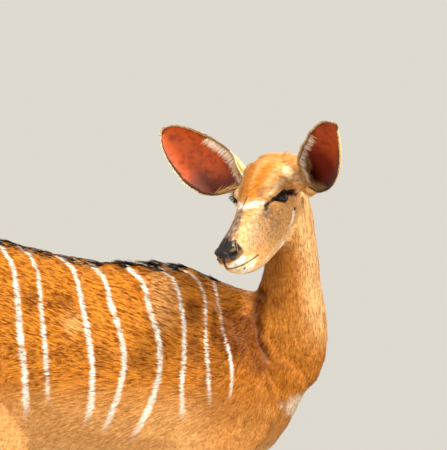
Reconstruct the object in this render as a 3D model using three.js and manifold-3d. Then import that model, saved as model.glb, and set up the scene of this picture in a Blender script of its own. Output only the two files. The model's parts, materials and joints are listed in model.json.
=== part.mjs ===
// A nyala ewe, life size, standing square and looking back over its right shoulder.
// Millimetres. +X is towards the chest, +Y the animal's left, +Z up, and the hooves stand on z = 0.
// The body is lofted whole from profiles of its own outline, then parted into the pieces that
// a person would name. Neighbours keep a gap of GAP, so that no two solids touch.

import * as THREE from "three";
import { mergeVertices } from "three/addons/utils/BufferGeometryUtils.js";
import Module from "manifold-3d";

const wasm = await Module();
wasm.setup();

// Driving dimensions
const WITHERS = 871; // height of the skin at the withers, below the crest
const CHEST_X = 262; // foremost point of the trunk
const RUMP_X = -572; // hindmost point of the trunk
const TRUNK_HALF = 136; // greatest half width of the barrel
const FORE_STANCE = { x: 52, y: 66 }; // middle of a fore cannon, and how far it is from the midline
const HIND_STANCE = { x: -502, y: 74 };
const FAR_STEP = { fore: 34, hind: -30 }; // how far the left legs stand ahead of the right ones
const HEAD_LENGTH = 280; // occiput to the tip of the nose
const EAR_LENGTH = 195;
const EAR_HALF = 51; // half the width of the open ear
const EYE_RADIUS = 19.5;
const LID = 2.2; // thickness of the eyelids
const TAIL_LENGTH = 375;
const CORONET = 42; // height of the front of a hoof
const GAP = 0.3;
const DEG = Math.PI / 180;

// The head's place: between the eyes, turned to the right of the body and dropped at the nose
const HEAD_AT = new THREE.Vector3(157, -150, 1005);
const HEAD_TURN = -122 * DEG;
const HEAD_DROP = 35 * DEG;
const HEAD_ROLL = 2 * DEG;

const COAT = { color: 0xc9782f, roughness: 0.85 };
const PALE_COAT = { color: 0xd8a468, roughness: 0.85 };
const HORN = { color: 0x2b2522, roughness: 0.5 };
const EYE = { color: 0x120b08, roughness: 0.08 };

const vec = (x, y, z) => new THREE.Vector3(x, y, z);

// A smooth curve y(x) through a few points [x, y], given in rising order of x.
function through(points) {
  const slopes = points.map((p, i) => {
    const a = points[Math.max(i - 1, 0)];
    const b = points[Math.min(i + 1, points.length - 1)];
    return (b[1] - a[1]) / (b[0] - a[0]);
  });
  return (x) => {
    if (x <= points[0][0]) return points[0][1];
    if (x >= points.at(-1)[0]) return points.at(-1)[1];
    const i = points.findIndex((p) => p[0] > x) - 1;
    const [x0, y0] = points[i];
    const [x1, y1] = points[i + 1];
    const h = x1 - x0;
    const t = (x - x0) / h;
    const u = 1 - t;
    return (
      u * u * (1 + 2 * t) * y0 + t * u * u * h * slopes[i] +
      t * t * (3 - 2 * t) * y1 - t * t * u * h * slopes[i + 1]
    );
  };
}

// 0 at the end of a form, rising as a quarter circle to 1 at reach from it.
function rounded(distance, reach) {
  const d = Math.min(Math.max(distance / reach, 0), 1);
  return Math.sqrt(1 - (1 - d) * (1 - d));
}

// A power of a sine or cosine that keeps its sign: 2 / n gives a superellipse of exponent n.
const power = (value, n) => Math.sign(value) * Math.abs(value) ** (2 / n);

// Random numbers from 0 to 1 that come out the same on every run.
function drawsFrom(seed) {
  let state = seed;
  return () => {
    state = (state * 1664525 + 1013904223) % 4294967296;
    return state / 4294967296;
  };
}

// The solid of a closed surface, turned outwards.
function solid(geometry) {
  const bare = geometry.clone();
  for (const name of ["normal", "uv"]) bare.deleteAttribute(name);
  const merged = mergeVertices(bare, 1e-4);
  const triangles = new Uint32Array(merged.index.array);
  const build = () =>
    new wasm.Manifold(
      new wasm.Mesh({
        numProp: 3,
        vertProperties: new Float32Array(merged.attributes.position.array),
        triVerts: triangles,
      }),
    );
  const made = build();
  if (made.volume() > 0) return made;
  for (let i = 0; i < triangles.length; i += 3)
    [triangles[i + 1], triangles[i + 2]] = [triangles[i + 2], triangles[i + 1]];
  return build();
}

// A surface through rings of points, closed at each end by a point or by the ring's own strip.
function loft(rings, firstPole, lastPole) {
  const around = rings[0].length;
  const points = rings.flat();
  const index = [];
  for (let i = 0; i + 1 < rings.length; i++)
    for (let j = 0; j < around; j++) {
      const a = i * around + j;
      const b = i * around + ((j + 1) % around);
      const c = a + around;
      const d = b + around;
      // Each four-sided patch is split along its shorter diagonal.
      const short = points[b].distanceTo(points[c]) <= points[a].distanceTo(points[d]) + 1e-3;
      index.push(...(short ? [a, b, c, b, d, c] : [a, b, d, a, d, c]));
    }
  const close = (start, pole, flip) => {
    if (pole) {
      points.push(pole);
      for (let j = 0; j < around; j++) {
        const a = start + j;
        const b = start + ((j + 1) % around);
        index.push(points.length - 1, ...(flip ? [a, b] : [b, a]));
      }
      return;
    }
    for (let j = 0; j + 1 < around / 2; j++) {
      const a = start + j;
      const c = start + around - 1 - j;
      index.push(...(flip ? [a, a + 1, c] : [a + 1, a, c]));
      index.push(...(flip ? [a + 1, c - 1, c] : [c - 1, a + 1, c]));
    }
  };
  close(0, firstPole, false);
  close((rings.length - 1) * around, lastPole, true);
  const geometry = new THREE.BufferGeometry().setFromPoints(points);
  geometry.setIndex(index);
  return geometry;
}

const union = (solids) => solids.reduce((a, b) => a.add(b));

// The biggest closed surface of a solid: what else a cut leaves is a loose scrap.
function largest(made) {
  return made.decompose().reduce((a, b) => (b.volume() > a.volume() ? b : a));
}

function ellipsoid(centre, radii, turn = new THREE.Euler(), detail = 18) {
  const ball = new THREE.SphereGeometry(1, detail, Math.round(detail * 0.6));
  ball.scale(...radii);
  ball.applyMatrix4(new THREE.Matrix4().makeRotationFromEuler(turn));
  ball.translate(centre.x, centre.y, centre.z);
  return solid(ball);
}

// A prism: an outline of [a, b] points in the plane of two axes, drawn out along the third.
function prism(outline, along, from, to) {
  const shape = new THREE.Shape(outline.map(([a, b]) => new THREE.Vector2(a, b)));
  const block = new THREE.ExtrudeGeometry(shape, { depth: to - from, bevelEnabled: false });
  block.translate(0, 0, from);
  const axes = {
    x: [vec(0, 1, 0), vec(0, 0, 1), vec(1, 0, 0)],
    y: [vec(1, 0, 0), vec(0, 0, 1), vec(0, 1, 0)],
  }[along];
  block.applyMatrix4(new THREE.Matrix4().makeBasis(...axes));
  return solid(block);
}

// Trunk: the barrel of the chest and belly, from the brisket to the buttocks.
// All profiles run along x, from the rump to the chest.
const backline = through([
  [RUMP_X, 846], [-545, 888], [-505, 920], [-455, 937], [-400, 936], [-329, 922], [-235, 898],
  [-141, 880], [-60, 874], [0, WITHERS], [50, 862], [103, 846], [140, 840], [168, 828], [205, 778],
  [CHEST_X, 705],
]);
const bellyline = through([
  [RUMP_X, 720], [-500, 640], [-430, 572], [-340, 530], [-250, 506], [-150, 492], [-50, 485],
  [40, 487], [110, 500], [165, 524], [200, 560], [235, 612], [CHEST_X, 655],
]);
const widestLine = through([
  [RUMP_X, 790], [-450, 745], [-300, 680], [-150, 655], [0, 650], [120, 660], [CHEST_X, 675],
]);
const trunkHalf = through([
  [RUMP_X, 78], [-500, 98], [-430, 110], [-330, 122], [-220, TRUNK_HALF], [-130, TRUNK_HALF - 2],
  [-30, 118], [60, 102], [140, 90], [205, 72], [CHEST_X, 52],
]);
const TRUNK_END = { front: 60, back: 56 };

function trunk(grow = 0) {
  const rings = [];
  const stations = 26;
  const around = 24;
  for (let i = 1; i < stations; i++) {
    const x = CHEST_X + ((RUMP_X - CHEST_X) * (1 - Math.cos((Math.PI * i) / stations))) / 2;
    const end = Math.min(rounded(CHEST_X - x, TRUNK_END.front), rounded(x - RUMP_X, TRUNK_END.back));
    const middle = widestLine(x);
    const withers = Math.exp(-(((x - 20) / 150) ** 2)); // the back is keenest over the withers
    rings.push(
      Array.from({ length: around }, (_, j) => {
        const angle = (2 * Math.PI * j) / around;
        const upper = Math.sin(angle) > 0;
        const n = upper ? 2.05 - 0.3 * withers : 2.15;
        const reach = (upper ? backline(x) - middle : middle - bellyline(x)) * end + grow;
        const half = trunkHalf(x) * end + grow;
        return vec(x, half * power(Math.cos(angle), n), middle + reach * power(Math.sin(angle), n));
      }),
    );
  }
  return solid(
    loft(rings, vec(CHEST_X + grow, 0, widestLine(CHEST_X)), vec(RUMP_X - grow, 0, widestLine(RUMP_X))),
  );
}

// Neck: stations up its middle line. turn is the heading of the throat in degrees, which swings
// round with the head; half is the half width, throat and nape the reach to front and back.
const NECK = [
  { at: [120, 0, 690], turn: 0, half: 58, throat: 112, nape: 92 },
  { at: [172, -3, 742], turn: -4, half: 62, throat: 123, nape: 84 },
  { at: [202, -10, 795], turn: -16, half: 61, throat: 96, nape: 66 },
  { at: [216, -24, 850], turn: -42, half: 55, throat: 66, nape: 56 },
  { at: [220, -40, 905], turn: -72, half: 49, throat: 54, nape: 54 },
  { at: [215, -56, 958], turn: -98, half: 46, throat: 52, nape: 55 },
  { at: [204, -68, 1008], turn: -116, half: 43, throat: 48, nape: 47 },
  { at: [193, -76, 1043], turn: -122, half: 34, throat: 38, nape: 32 },
  { at: [188, -80, 1060], turn: -122, half: 20, throat: 24, nape: 17 },
];

function neckSolid(grow = 0) {
  const path = new THREE.CatmullRomCurve3(NECK.map((s) => vec(...s.at)), false, "centripetal");
  const along = (key) => through(NECK.map((s, i) => [i / (NECK.length - 1), s[key]]));
  const [turn, half, throat, nape] = ["turn", "half", "throat", "nape"].map(along);
  const rings = [];
  const stations = 16;
  const around = 22;
  for (let i = 0; i <= stations; i++) {
    const t = i / stations;
    const centre = path.getPoint(t);
    const up = path.getTangent(t);
    const heading = vec(Math.cos(turn(t) * DEG), Math.sin(turn(t) * DEG), 0);
    const forward = heading.addScaledVector(up, -heading.dot(up)).normalize();
    const side = up.clone().cross(forward);
    rings.push(
      Array.from({ length: around }, (_, j) => {
        const angle = (2 * Math.PI * j) / around;
        const c = Math.cos(angle);
        return centre.clone()
          .addScaledVector(forward, ((c > 0 ? throat(t) : nape(t)) + grow) * c)
          .addScaledVector(side, (half(t) + grow) * power(Math.sin(angle), 2.1));
      }),
    );
  }
  return solid(loft(rings, path.getPoint(0), path.getPoint(1)));
}

// Legs: stations down the middle line, x and z in the plane of the leg, y out from the midline.
// front and back are the reach ahead and behind, half the half width. x is from the cannon's line.
const FORELEG = [
  { x: -22, z: 812, y: 50, front: 40, back: 44, half: 26 },
  { x: 8, z: 750, y: 62, front: 62, back: 60, half: 34 },
  { x: 38, z: 690, y: 67, front: 84, back: 80, half: 38 },
  { x: 48, z: 635, y: 70, front: 98, back: 116, half: 41 },
  { x: 32, z: 582, y: 74, front: 96, back: 118, half: 39 },
  { x: 12, z: 536, y: 77, front: 78, back: 102, half: 35 },
  { x: 0, z: 495, y: 77, front: 58, back: 70, half: 30 },
  { x: -3, z: 450, y: 75, front: 42, back: 45, half: 25 },
  { x: -2, z: 390, y: 71, front: 30, back: 32, half: 21 },
  { x: 0, z: 325, y: 68, front: 23, back: 24, half: 19 },
  { x: 2, z: 288, y: 67, front: 23, back: 25, half: 21 },
  { x: 1, z: 252, y: 66, front: 17, back: 22, half: 17 },
  { x: 0, z: 200, y: 66, front: 14, back: 17, half: 13 },
  { x: 0, z: 138, y: 66, front: 14, back: 17, half: 13 },
  { x: 0, z: 102, y: 66, front: 18, back: 22, half: 17 },
  { x: 6, z: 74, y: 66, front: 15, back: 17, half: 15.5 },
  { x: 13, z: 44, y: 66, front: 18, back: 18, half: 18.5 },
  { x: 16, z: 18, y: 66, front: 20, back: 19, half: 18.5 },
];
const HINDLEG = [
  { x: 82, z: 868, y: 46, front: 46, back: 46, half: 38 },
  { x: 86, z: 800, y: 54, front: 96, back: 102, half: 56 },
  { x: 98, z: 728, y: 58, front: 124, back: 146, half: 62 },
  { x: 112, z: 650, y: 66, front: 132, back: 142, half: 58 },
  { x: 122, z: 575, y: 76, front: 122, back: 122, half: 50 },
  { x: 112, z: 510, y: 84, front: 112, back: 96, half: 44 },
  { x: 74, z: 450, y: 85, front: 80, back: 68, half: 36 },
  { x: 30, z: 392, y: 82, front: 47, back: 45, half: 27 },
  { x: 2, z: 345, y: 78, front: 31, back: 38, half: 20 },
  { x: -6, z: 310, y: 76, front: 26, back: 34, half: 19.5 },
  { x: -4, z: 268, y: 75, front: 20, back: 24, half: 16.5 },
  { x: 0, z: 205, y: 74, front: 15, back: 18, half: 13.5 },
  { x: 0, z: 140, y: 74, front: 14, back: 18, half: 13.5 },
  { x: 0, z: 104, y: 74, front: 18, back: 23, half: 17 },
  { x: 6, z: 75, y: 74, front: 15, back: 18, half: 15.5 },
  { x: 13, z: 44, y: 74, front: 18, back: 18, half: 18.5 },
  { x: 16, z: 18, y: 74, front: 20, back: 19, half: 18.5 },
];

const SIDES = { right: -1, left: 1 };

// Where the cannon of each leg stands: the left legs are a little ahead or behind.
function stance(end, side) {
  const base = end === "fore" ? FORE_STANCE : HIND_STANCE;
  return base.x + (side === "left" ? FAR_STEP[end] : 0);
}

function legSolid(end, side) {
  const table = end === "fore" ? FORELEG : HINDLEG;
  const stand = stance(end, side);
  // A leg that stands ahead swings from its top, so the shift fades out towards the back.
  const home = end === "fore" ? FORE_STANCE.x : HIND_STANCE.x;
  const lean = (z) => (stand - home) * Math.min(Math.max((table[2].z - z) / (table[2].z - 100), 0), 1);
  const middle = table.map((s) => vec(home + s.x + lean(s.z), s.y * SIDES[side], s.z));
  const path = new THREE.CatmullRomCurve3(middle, false, "centripetal");
  const along = (key) => through(table.map((s, i) => [i / (table.length - 1), s[key]]));
  const [front, back, half] = ["front", "back", "half"].map(along);
  const rings = [];
  const stations = 25;
  const around = 14;
  for (let i = 0; i <= stations; i++) {
    const t = i / stations;
    const down = path.getTangent(t);
    down.x *= 0.45; // the sections stay closer to level than to square with the bent path
    down.y = 0;
    down.normalize();
    const forward = vec(-down.z, 0, down.x);
    const centre = path.getPoint(t);
    rings.push(
      Array.from({ length: around }, (_, j) => {
        const angle = (2 * Math.PI * j) / around;
        const c = Math.cos(angle);
        return centre.clone()
          .addScaledVector(forward, (c > 0 ? front(t) : back(t)) * c)
          .add(vec(0, half(t) * Math.sin(angle), 0));
      }),
    );
  }
  return solid(loft(rings, path.getPoint(0), path.getPoint(1)));
}

// The space that a leg takes from the whole body, a slanted cut from the groin or armpit outwards.
const LEG_CUT = {
  fore: { inner: 22, low: 470, outer: 150, high: 640, back: [-130, 0], front: [262, 262] },
  hind: { inner: 16, low: 552, outer: 150, high: 800, back: [-720, -720], front: [-222, -352] },
};

function legRegion(end, side, gap) {
  const c = LEG_CUT[end];
  const s = SIDES[side];
  const far = 320;
  const lowest = -20;
  const across = [
    [s * (c.inner - gap), lowest], [s * (c.inner - gap), c.low + gap],
    [s * (c.outer - gap), c.high + gap], [s * far, c.high + gap], [s * far, lowest],
  ];
  const lengthways = [
    [c.back[0] - gap, lowest], [c.front[0] + gap, lowest],
    [c.front[0] + gap, c.low - 60], [c.front[1] + gap, c.high + 10], [c.back[1] - gap, c.high + 10],
    [c.back[0] - gap, c.low],
  ];
  return prism(across, "x", -900, 500).intersect(prism(lengthways, "y", -far, far));
}

// Hooves: a pair of claws, drawn as one pointed form and parted down the middle. Their upper
// edge, the coronet, slants down from the toe to the heel.
const HOOF = { ahead: 15, toe: 40, heel: 21, top: 18, half: 23, slant: 0.4, cleft: 1.1 };

const coronet = (end, side, x) => CORONET - HOOF.slant * (stance(end, side) + HOOF.ahead + HOOF.top - x);
const coronetUp = vec(-HOOF.slant, 0, 1).normalize();

function clawSolid(end, side, outer) {
  const x = stance(end, side) + HOOF.ahead;
  const y = (end === "fore" ? FORE_STANCE.y : HIND_STANCE.y) * SIDES[side];
  const around = 16;
  const mix = (a, b, t) => a + (b - a) * t;
  const rings = [0, 0.25, 0.6, 1].map((rise) =>
    Array.from({ length: around }, (_, j) => {
      const angle = (2 * Math.PI * j) / around;
      const c = Math.cos(angle);
      const reach = mix(c > 0 ? HOOF.toe : HOOF.heel, HOOF.top, rise);
      const taper = 1 - 0.45 * Math.max(c, 0) ** 3 * (1 - rise);
      const px = x + reach * power(c, 2.1);
      const py = y + (HOOF.half - 3 * rise) * taper * power(Math.sin(angle), 2.3);
      return vec(px, py, rise * (coronet(end, side, px) - GAP));
    }),
  );
  const pair = solid(loft(rings, vec(x, y, 0), vec(x, y, coronet(end, side, x) - GAP)));
  const away = outer ? SIDES[side] : -SIDES[side];
  return largest(pair.trimByPlane([0, away, 0], away * y + HOOF.cleft));
}

function dewclaw(end, side, outer, grow = 0) {
  const away = outer ? SIDES[side] : -SIDES[side];
  const y = (end === "fore" ? FORE_STANCE.y : HIND_STANCE.y) * SIDES[side] + 10 * away;
  const radii = [7, 6.5, 13].map((r) => r + grow);
  return ellipsoid(vec(stance(end, side) - 21, y, 84), radii, new THREE.Euler(0, 32 * DEG, 0), 8);
}

// Head: profiles in its own frame, x from between the eyes to the nose, z up from the eyes.
const NOSE_X = 168;
const OCCIPUT_X = NOSE_X - HEAD_LENGTH;
const crownline = through([
  [OCCIPUT_X, 12], [-100, 33], [-72, 48], [-40, 50], [-6, 42], [25, 31], [50, 24], [80, 17],
  [110, 12], [138, 8], [152, 1], [162, -10], [NOSE_X, -24],
]);
const jawline = through([
  [OCCIPUT_X, -34], [-95, -66], [-70, -88], [-40, -101], [-6, -106], [25, -105], [50, -103],
  [80, -98], [112, -87], [138, -71], [152, -58], [162, -46], [NOSE_X, -34],
]);
// Half widths at five levels of each section, given as shares of its height from jaw to crown
const LEVELS = [0.06, 0.22, 0.46, 0.71, 0.9];
const widths = [
  [[OCCIPUT_X, 14], [-70, 17], [-6, 18], [50, 16], [110, 15], [140, 12], [156, 8], [NOSE_X, 3]],
  [
    [OCCIPUT_X, 22], [-70, 33], [-35, 36], [-6, 33], [50, 27], [80, 25], [110, 23], [140, 19],
    [156, 14], [NOSE_X, 6],
  ],
  [
    [OCCIPUT_X, 30], [-70, 43], [-35, 46], [-6, 43], [50, 31], [80, 27], [110, 25], [140, 24],
    [156, 20], [NOSE_X, 10],
  ],
  [
    [OCCIPUT_X, 32], [-70, 47], [-35, 49], [-6, 46], [25, 37], [50, 30], [80, 25], [110, 23],
    [140, 24], [156, 21], [NOSE_X, 10],
  ],
  [
    [OCCIPUT_X, 23], [-70, 34], [-35, 37], [-6, 34], [25, 26], [50, 19], [80, 15], [110, 13],
    [140, 15], [156, 13], [NOSE_X, 5],
  ],
].map(through);

function headWidth(x, level) {
  const ends = [[0, 0], ...LEVELS.map((v, i) => [v, widths[i](x)]), [1, 0]];
  const shape = through(ends);
  // Near the crown and the jaw the section closes as a circle does, and not to a point.
  const low = LEVELS[0];
  const high = LEVELS.at(-1);
  if (level < low) return widths[0](x) * rounded(level, low);
  if (level > high) return widths.at(-1)(x) * rounded(1 - level, 1 - high);
  return shape(level);
}

function headSolid(grow = 0) {
  const rings = [];
  const stations = 25;
  const rise = 11; // points up each side
  for (let i = 1; i < stations; i++) {
    const t = i / stations;
    const x = OCCIPUT_X + HEAD_LENGTH * (1 - Math.cos(Math.PI * t)) / 2;
    const wide = 1 + grow / widths[2](x);
    const end = rounded(x - OCCIPUT_X, 30);
    const top = crownline(x) + grow;
    const bottom = jawline(x) - grow;
    const ring = [];
    for (let side = -1; side <= 1; side += 2)
      for (let j = 0; j < rise; j++) {
        const k = side < 0 ? j : rise - j;
        const level = (1 - Math.cos((Math.PI * k) / rise)) / 2;
        ring.push(vec(x, side * headWidth(x, level) * wide * end, bottom + (top - bottom) * level));
      }
    rings.push(ring);
  }
  const tip = (crownline(NOSE_X) + jawline(NOSE_X)) / 2;
  return solid(loft(rings, vec(OCCIPUT_X - grow, 0, -10), vec(NOSE_X + grow, 0, tip)));
}

// What the eyes, mouth and nostrils need, in the head's frame
const EYE_AT = { x: -6, y: 36, z: 2 };
const NOSTRIL = { at: [156, 21, -15], radii: [12, 5.5, 6.5], slope: -40 * DEG, turn: -27 * DEG };
const FISSURE = { half: 20, rise: 12, tilt: 22 * DEG };
const MOUTH = { corner: [93, -58], middle: [136, -48.5], front: [175, -38], open: 2.2, deep: 6 };

// An almond opening between the lids, two arcs long and low, drawn out sideways from the eye.
function lidOpening(side) {
  const { half, rise, tilt } = FISSURE;
  const shape = new THREE.Shape();
  shape.moveTo(-half, 0);
  shape.quadraticCurveTo(0, rise * 2.05, half, 0);
  shape.quadraticCurveTo(0, -rise * 1.65, -half, 0);
  const block = new THREE.ExtrudeGeometry(shape, { depth: 60, bevelEnabled: false, curveSegments: 10 });
  block.rotateX(Math.PI / 2);
  if (side > 0) block.scale(1, -1, 1);
  block.rotateY(-tilt);
  block.translate(EYE_AT.x, EYE_AT.y * side, EYE_AT.z);
  return solid(block);
}

// The slit between the lips: a thin curved band through the muzzle, less the flesh deep inside.
function mouthSlit() {
  const { corner, middle, front } = MOUTH;
  const line = new THREE.CatmullRomCurve3([corner, middle, front].map(([x, z]) => vec(x, 0, z)));
  const upper = line.getPoints(8);
  const half = (i) => (MOUTH.open / 2) * Math.min(1, 0.25 + i / 3);
  const outline = [
    ...upper.map((p, i) => [p.x, p.z + half(i)]),
    ...upper.map((p, i) => [p.x, p.z - half(i)]).reverse(),
  ];
  return prism(outline, "y", -45, 45).subtract(headSolid(-MOUTH.deep));
}

// The head with its lids, brows, nostril wings and cheek muscles, all larger by grow.
function headForm(grow = 0) {
  const pad = [12, 17, 13].map((r) => r + grow);
  const forms = [headSolid(grow), ellipsoid(vec(153, 0, -13), pad, undefined, 12)];
  for (const side of Object.values(SIDES)) {
    const lid = EYE_RADIUS + LID;
    const swellings = [
      [[EYE_AT.x, EYE_AT.y, EYE_AT.z], [lid, lid, lid], [0, 0, 0], 16],
      [[-8, 31, 19], [27, 12, 7], [0, 14, -10], 12], // brow
      [[149, 14, -14], [16, 10, 12], [0, 0, 14], 12], // wing of the nostril
      [[-32, 33, -46], [40, 12, 28], [0, 0, 0], 12], // cheek muscle
    ];
    for (const [[x, y, z], radii, [a, b, c], detail] of swellings) {
      const turn = new THREE.Euler(a * DEG, b * DEG, c * DEG * side);
      forms.push(ellipsoid(vec(x, y * side, z), radii.map((r) => r + grow), turn, detail));
    }
  }
  return union(forms);
}

function detailedHead() {
  const cuts = [mouthSlit()];
  for (const side of Object.values(SIDES)) {
    const eye = vec(EYE_AT.x, EYE_AT.y * side, EYE_AT.z);
    const [x, y, z] = NOSTRIL.at;
    const slant = new THREE.Euler(NOSTRIL.slope * side, 0, NOSTRIL.turn * side);
    cuts.push(
      lidOpening(side),
      ellipsoid(eye, Array(3).fill(EYE_RADIUS + GAP), undefined, 16),
      ellipsoid(vec(x, y * side, z), NOSTRIL.radii, slant, 10),
    );
  }
  return largest(headForm().subtract(union(cuts)));
}

const headPlace = (() => {
  const turn = new THREE.Matrix4().makeRotationZ(HEAD_TURN);
  turn.multiply(new THREE.Matrix4().makeRotationY(HEAD_DROP));
  turn.multiply(new THREE.Matrix4().makeRotationX(HEAD_ROLL));
  return turn.setPosition(HEAD_AT);
})();

const inPlace = (made) => made.transform(headPlace.elements);

// Ears: a cup that opens from a closed tube at its root to a broad spoon with a rounded tip.
// root is in the head's frame. tip is the way it points, open the way its mouth faces and bow how
// far its middle bends out, all in the body's frame.
const EARS = {
  right: { root: [-73, -61, -7], tip: [-162, 46, 95], open: [-0.03, -0.97, -0.2], bow: [-5, 4, -11] },
  left: { root: [-73, 78, -10], tip: [36, -164, 97], open: [-0.81, -0.45, -0.3], bow: [9, -9, -1] },
};
const earHalf = through([
  [-0.12, 16], [0, 20], [0.1, 28], [0.22, 43], [0.36, EAR_HALF], [0.5, EAR_HALF], [0.66, 45], [0.8, 36],
  [0.9, 26], [0.96, 16], [1, 6],
]);
const earWrap = through([[-0.12, 168], [0, 158], [0.12, 125], [0.28, 84], [0.45, 62], [0.7, 50], [1, 44]]);
const earBack = through([[-0.12, 17], [0.2, 21], [0.5, 15], [0.8, 10], [1, 5]]);
const earThick = through([[-0.12, 5], [0.3, 4], [0.8, 3], [1, 2.2]]);

function earSolid(side) {
  const { root, tip, open, bow } = EARS[side];
  const along = vec(...tip).normalize();
  const mouth = vec(...open);
  mouth.addScaledVector(along, -mouth.dot(along)).normalize();
  const across = along.clone().cross(mouth);
  const base = vec(...root).applyMatrix4(headPlace);
  const rings = [];
  const stations = 13;
  const arc = 9;
  for (let i = 0; i <= stations; i++) {
    const s = -0.12 + 1.12 * Math.sin((Math.PI / 2) * (i / stations));
    const wrap = earWrap(s) * DEG;
    const radius = wrap > Math.PI / 2 ? earHalf(s) : earHalf(s) / Math.sin(wrap);
    const axis = base.clone()
      .addScaledVector(along, EAR_LENGTH * s)
      .addScaledVector(mouth, radius - earBack(s))
      .addScaledVector(vec(...bow), Math.sin(Math.PI * Math.max(s, 0) ** 0.8));
    const at = (angle, r) => axis.clone()
      .addScaledVector(across, r * Math.sin(angle))
      .addScaledVector(mouth, -r * Math.cos(angle));
    const angles = Array.from({ length: arc }, (_, j) => wrap * ((2 * j) / (arc - 1) - 1));
    rings.push([
      ...angles.map((a) => at(a, radius)),
      ...angles.reverse().map((a) => at(a, radius - earThick(s))),
    ]);
  }
  const bottom = base.clone().addScaledVector(along, -10);
  const bulb = ellipsoid(bottom, [17, 17, 17], undefined, 12); // closes the bottom of the cup
  const [x, y, z] = root;
  const stalk = inPlace(ellipsoid(vec(x, y - Math.sign(y) * 17, z), [18, 24, 18], undefined, 12));
  const muscle = inPlace(ellipsoid(vec(x + 2, Math.sign(y) * 45, z + 22), [19, 18, 23], undefined, 12));
  return union([solid(loft(rings, null, null)), bulb, stalk, muscle]);
}

// A lock of hair: flat, tapered and bent, with its root sunk in what it grows from.
function lockSolid({ root, lie, up, length, half, thick, lift, sink }) {
  const side = up.clone().cross(lie).normalize();
  const at = (t) => root.clone()
    .addScaledVector(lie, length * t)
    .addScaledVector(up, -sink * (1 - t) ** 2 + lift * Math.sin(Math.PI * (0.12 + 0.62 * t)));
  const rings = [0, 0.4, 0.75].map((t) => {
    const centre = at(t);
    const wide = half * (1 - 0.55 * t * t);
    const deep = thick * (1 - 0.5 * t);
    return [
      centre.clone().addScaledVector(side, wide),
      centre.clone().addScaledVector(up, deep),
      centre.clone().addScaledVector(side, -wide),
      centre.clone().addScaledVector(up, -deep),
    ];
  });
  return solid(loft(rings, at(0), at(1)));
}

// The crest: short bristles along the spine, from the root of the neck to the rump.
function crestLocks() {
  const draw = drawsFrom(11);
  const count = 26;
  const from = 122;
  const to = -468;
  return Array.from({ length: count }, (_, i) => {
    const x = from + ((to - from) * i) / (count - 1);
    const lie = vec(-20, 0, backline(x - 10) - backline(x + 10)).normalize();
    const fade = rounded(i + 1.5, 10) * rounded(count - i + 0.5, 10);
    return lockSolid({
      root: vec(x, (i % 2 ? 3.5 : -3.5) + 2 * (draw() - 0.5), backline(x)),
      lie: lie.clone().add(vec(0, 0.12 * (draw() - 0.5), 0)).normalize(),
      up: vec(lie.z, 0, -lie.x),
      length: 56 + 12 * draw(),
      half: 8,
      thick: 6.5,
      lift: (9 + 4 * draw()) * fade,
      sink: 8,
    });
  });
}

// The tail: a tapering core with locks round it, hanging free behind the thighs.
const TAIL_PATH = [
  [-532, 884], [-570, 874], [-592, 842], [-602, 790], [-606, 710], [-604, 620], [-598, 520],
];

function tailSolid() {
  const path = new THREE.CatmullRomCurve3(TAIL_PATH.map(([x, z]) => vec(x, 0, z)), false, "centripetal");
  const reach = TAIL_LENGTH / path.getLength();
  const half = through([[0, 21], [0.2, 18], [0.5, 16], [0.8, 14], [1, 5]]);
  const deep = through([[0, 18], [0.2, 13], [0.5, 10], [0.8, 8.5], [1, 4]]);
  const frame = (t) => {
    const down = path.getTangent(Math.min(t * reach, 1));
    return { centre: path.getPoint(Math.min(t * reach, 1)), down, out: vec(down.z, 0, -down.x) };
  };
  const stations = 14;
  const around = 12;
  const rings = Array.from({ length: stations + 1 }, (_, i) => {
    const t = i / stations;
    const { centre, out } = frame(t);
    return Array.from({ length: around }, (_, j) => {
      const angle = (2 * Math.PI * j) / around;
      return centre.clone()
        .addScaledVector(out, deep(t) * Math.cos(angle))
        .add(vec(0, half(t) * Math.sin(angle), 0));
    });
  });
  const core = solid(loft(rings, frame(0).centre, frame(1).centre));
  const draw = drawsFrom(5);
  const rows = 6;
  const locks = [];
  for (let row = 0; row < rows; row++) {
    const t = 0.24 + (0.7 * row) / (rows - 1);
    const { centre, down, out } = frame(t);
    const count = 5;
    for (let k = 0; k < count; k++) {
      const angle = (2 * Math.PI * (k + (row % 2) / 2)) / count + 0.2 * (draw() - 0.5);
      const up = out.clone().multiplyScalar(Math.cos(angle)).add(vec(0, Math.sin(angle), 0)).normalize();
      const root = centre.clone()
        .addScaledVector(out, deep(t) * Math.cos(angle))
        .add(vec(0, half(t) * Math.sin(angle), 0));
      const splay = Math.abs(Math.sin(angle)); // the brush is broad from side to side
      locks.push(
        lockSolid({
          root,
          lie: down.clone().addScaledVector(up, 0.05 + 0.12 * splay).normalize(),
          up,
          length: (58 + 22 * draw()) * (row === rows - 1 ? 1.15 : 1),
          half: 8.5,
          thick: 3,
          lift: 2 + 6 * splay,
          sink: 5,
        }),
      );
    }
  }
  return union([core, ...locks]);
}

// The whole body, and then its pieces
const neckCut = (() => {
  const nape = vec(146, 0, 846);
  const brisket = vec(258, 0, 648);
  const normal = vec(nape.z - brisket.z, 0, brisket.x - nape.x).normalize();
  return { normal: normal.toArray(), offset: normal.dot(nape) };
})();

const legEnds = ["fore", "hind"];
const everyLeg = legEnds.flatMap((end) => Object.keys(SIDES).map((side) => ({ end, side })));
const whole = union([trunk(), neckSolid(), ...everyLeg.map(({ end, side }) => legSolid(end, side))]);
const headGrown = inPlace(headForm(GAP));
const neckGrown = neckSolid(GAP * 1.5);

const group = new THREE.Group();

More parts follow.
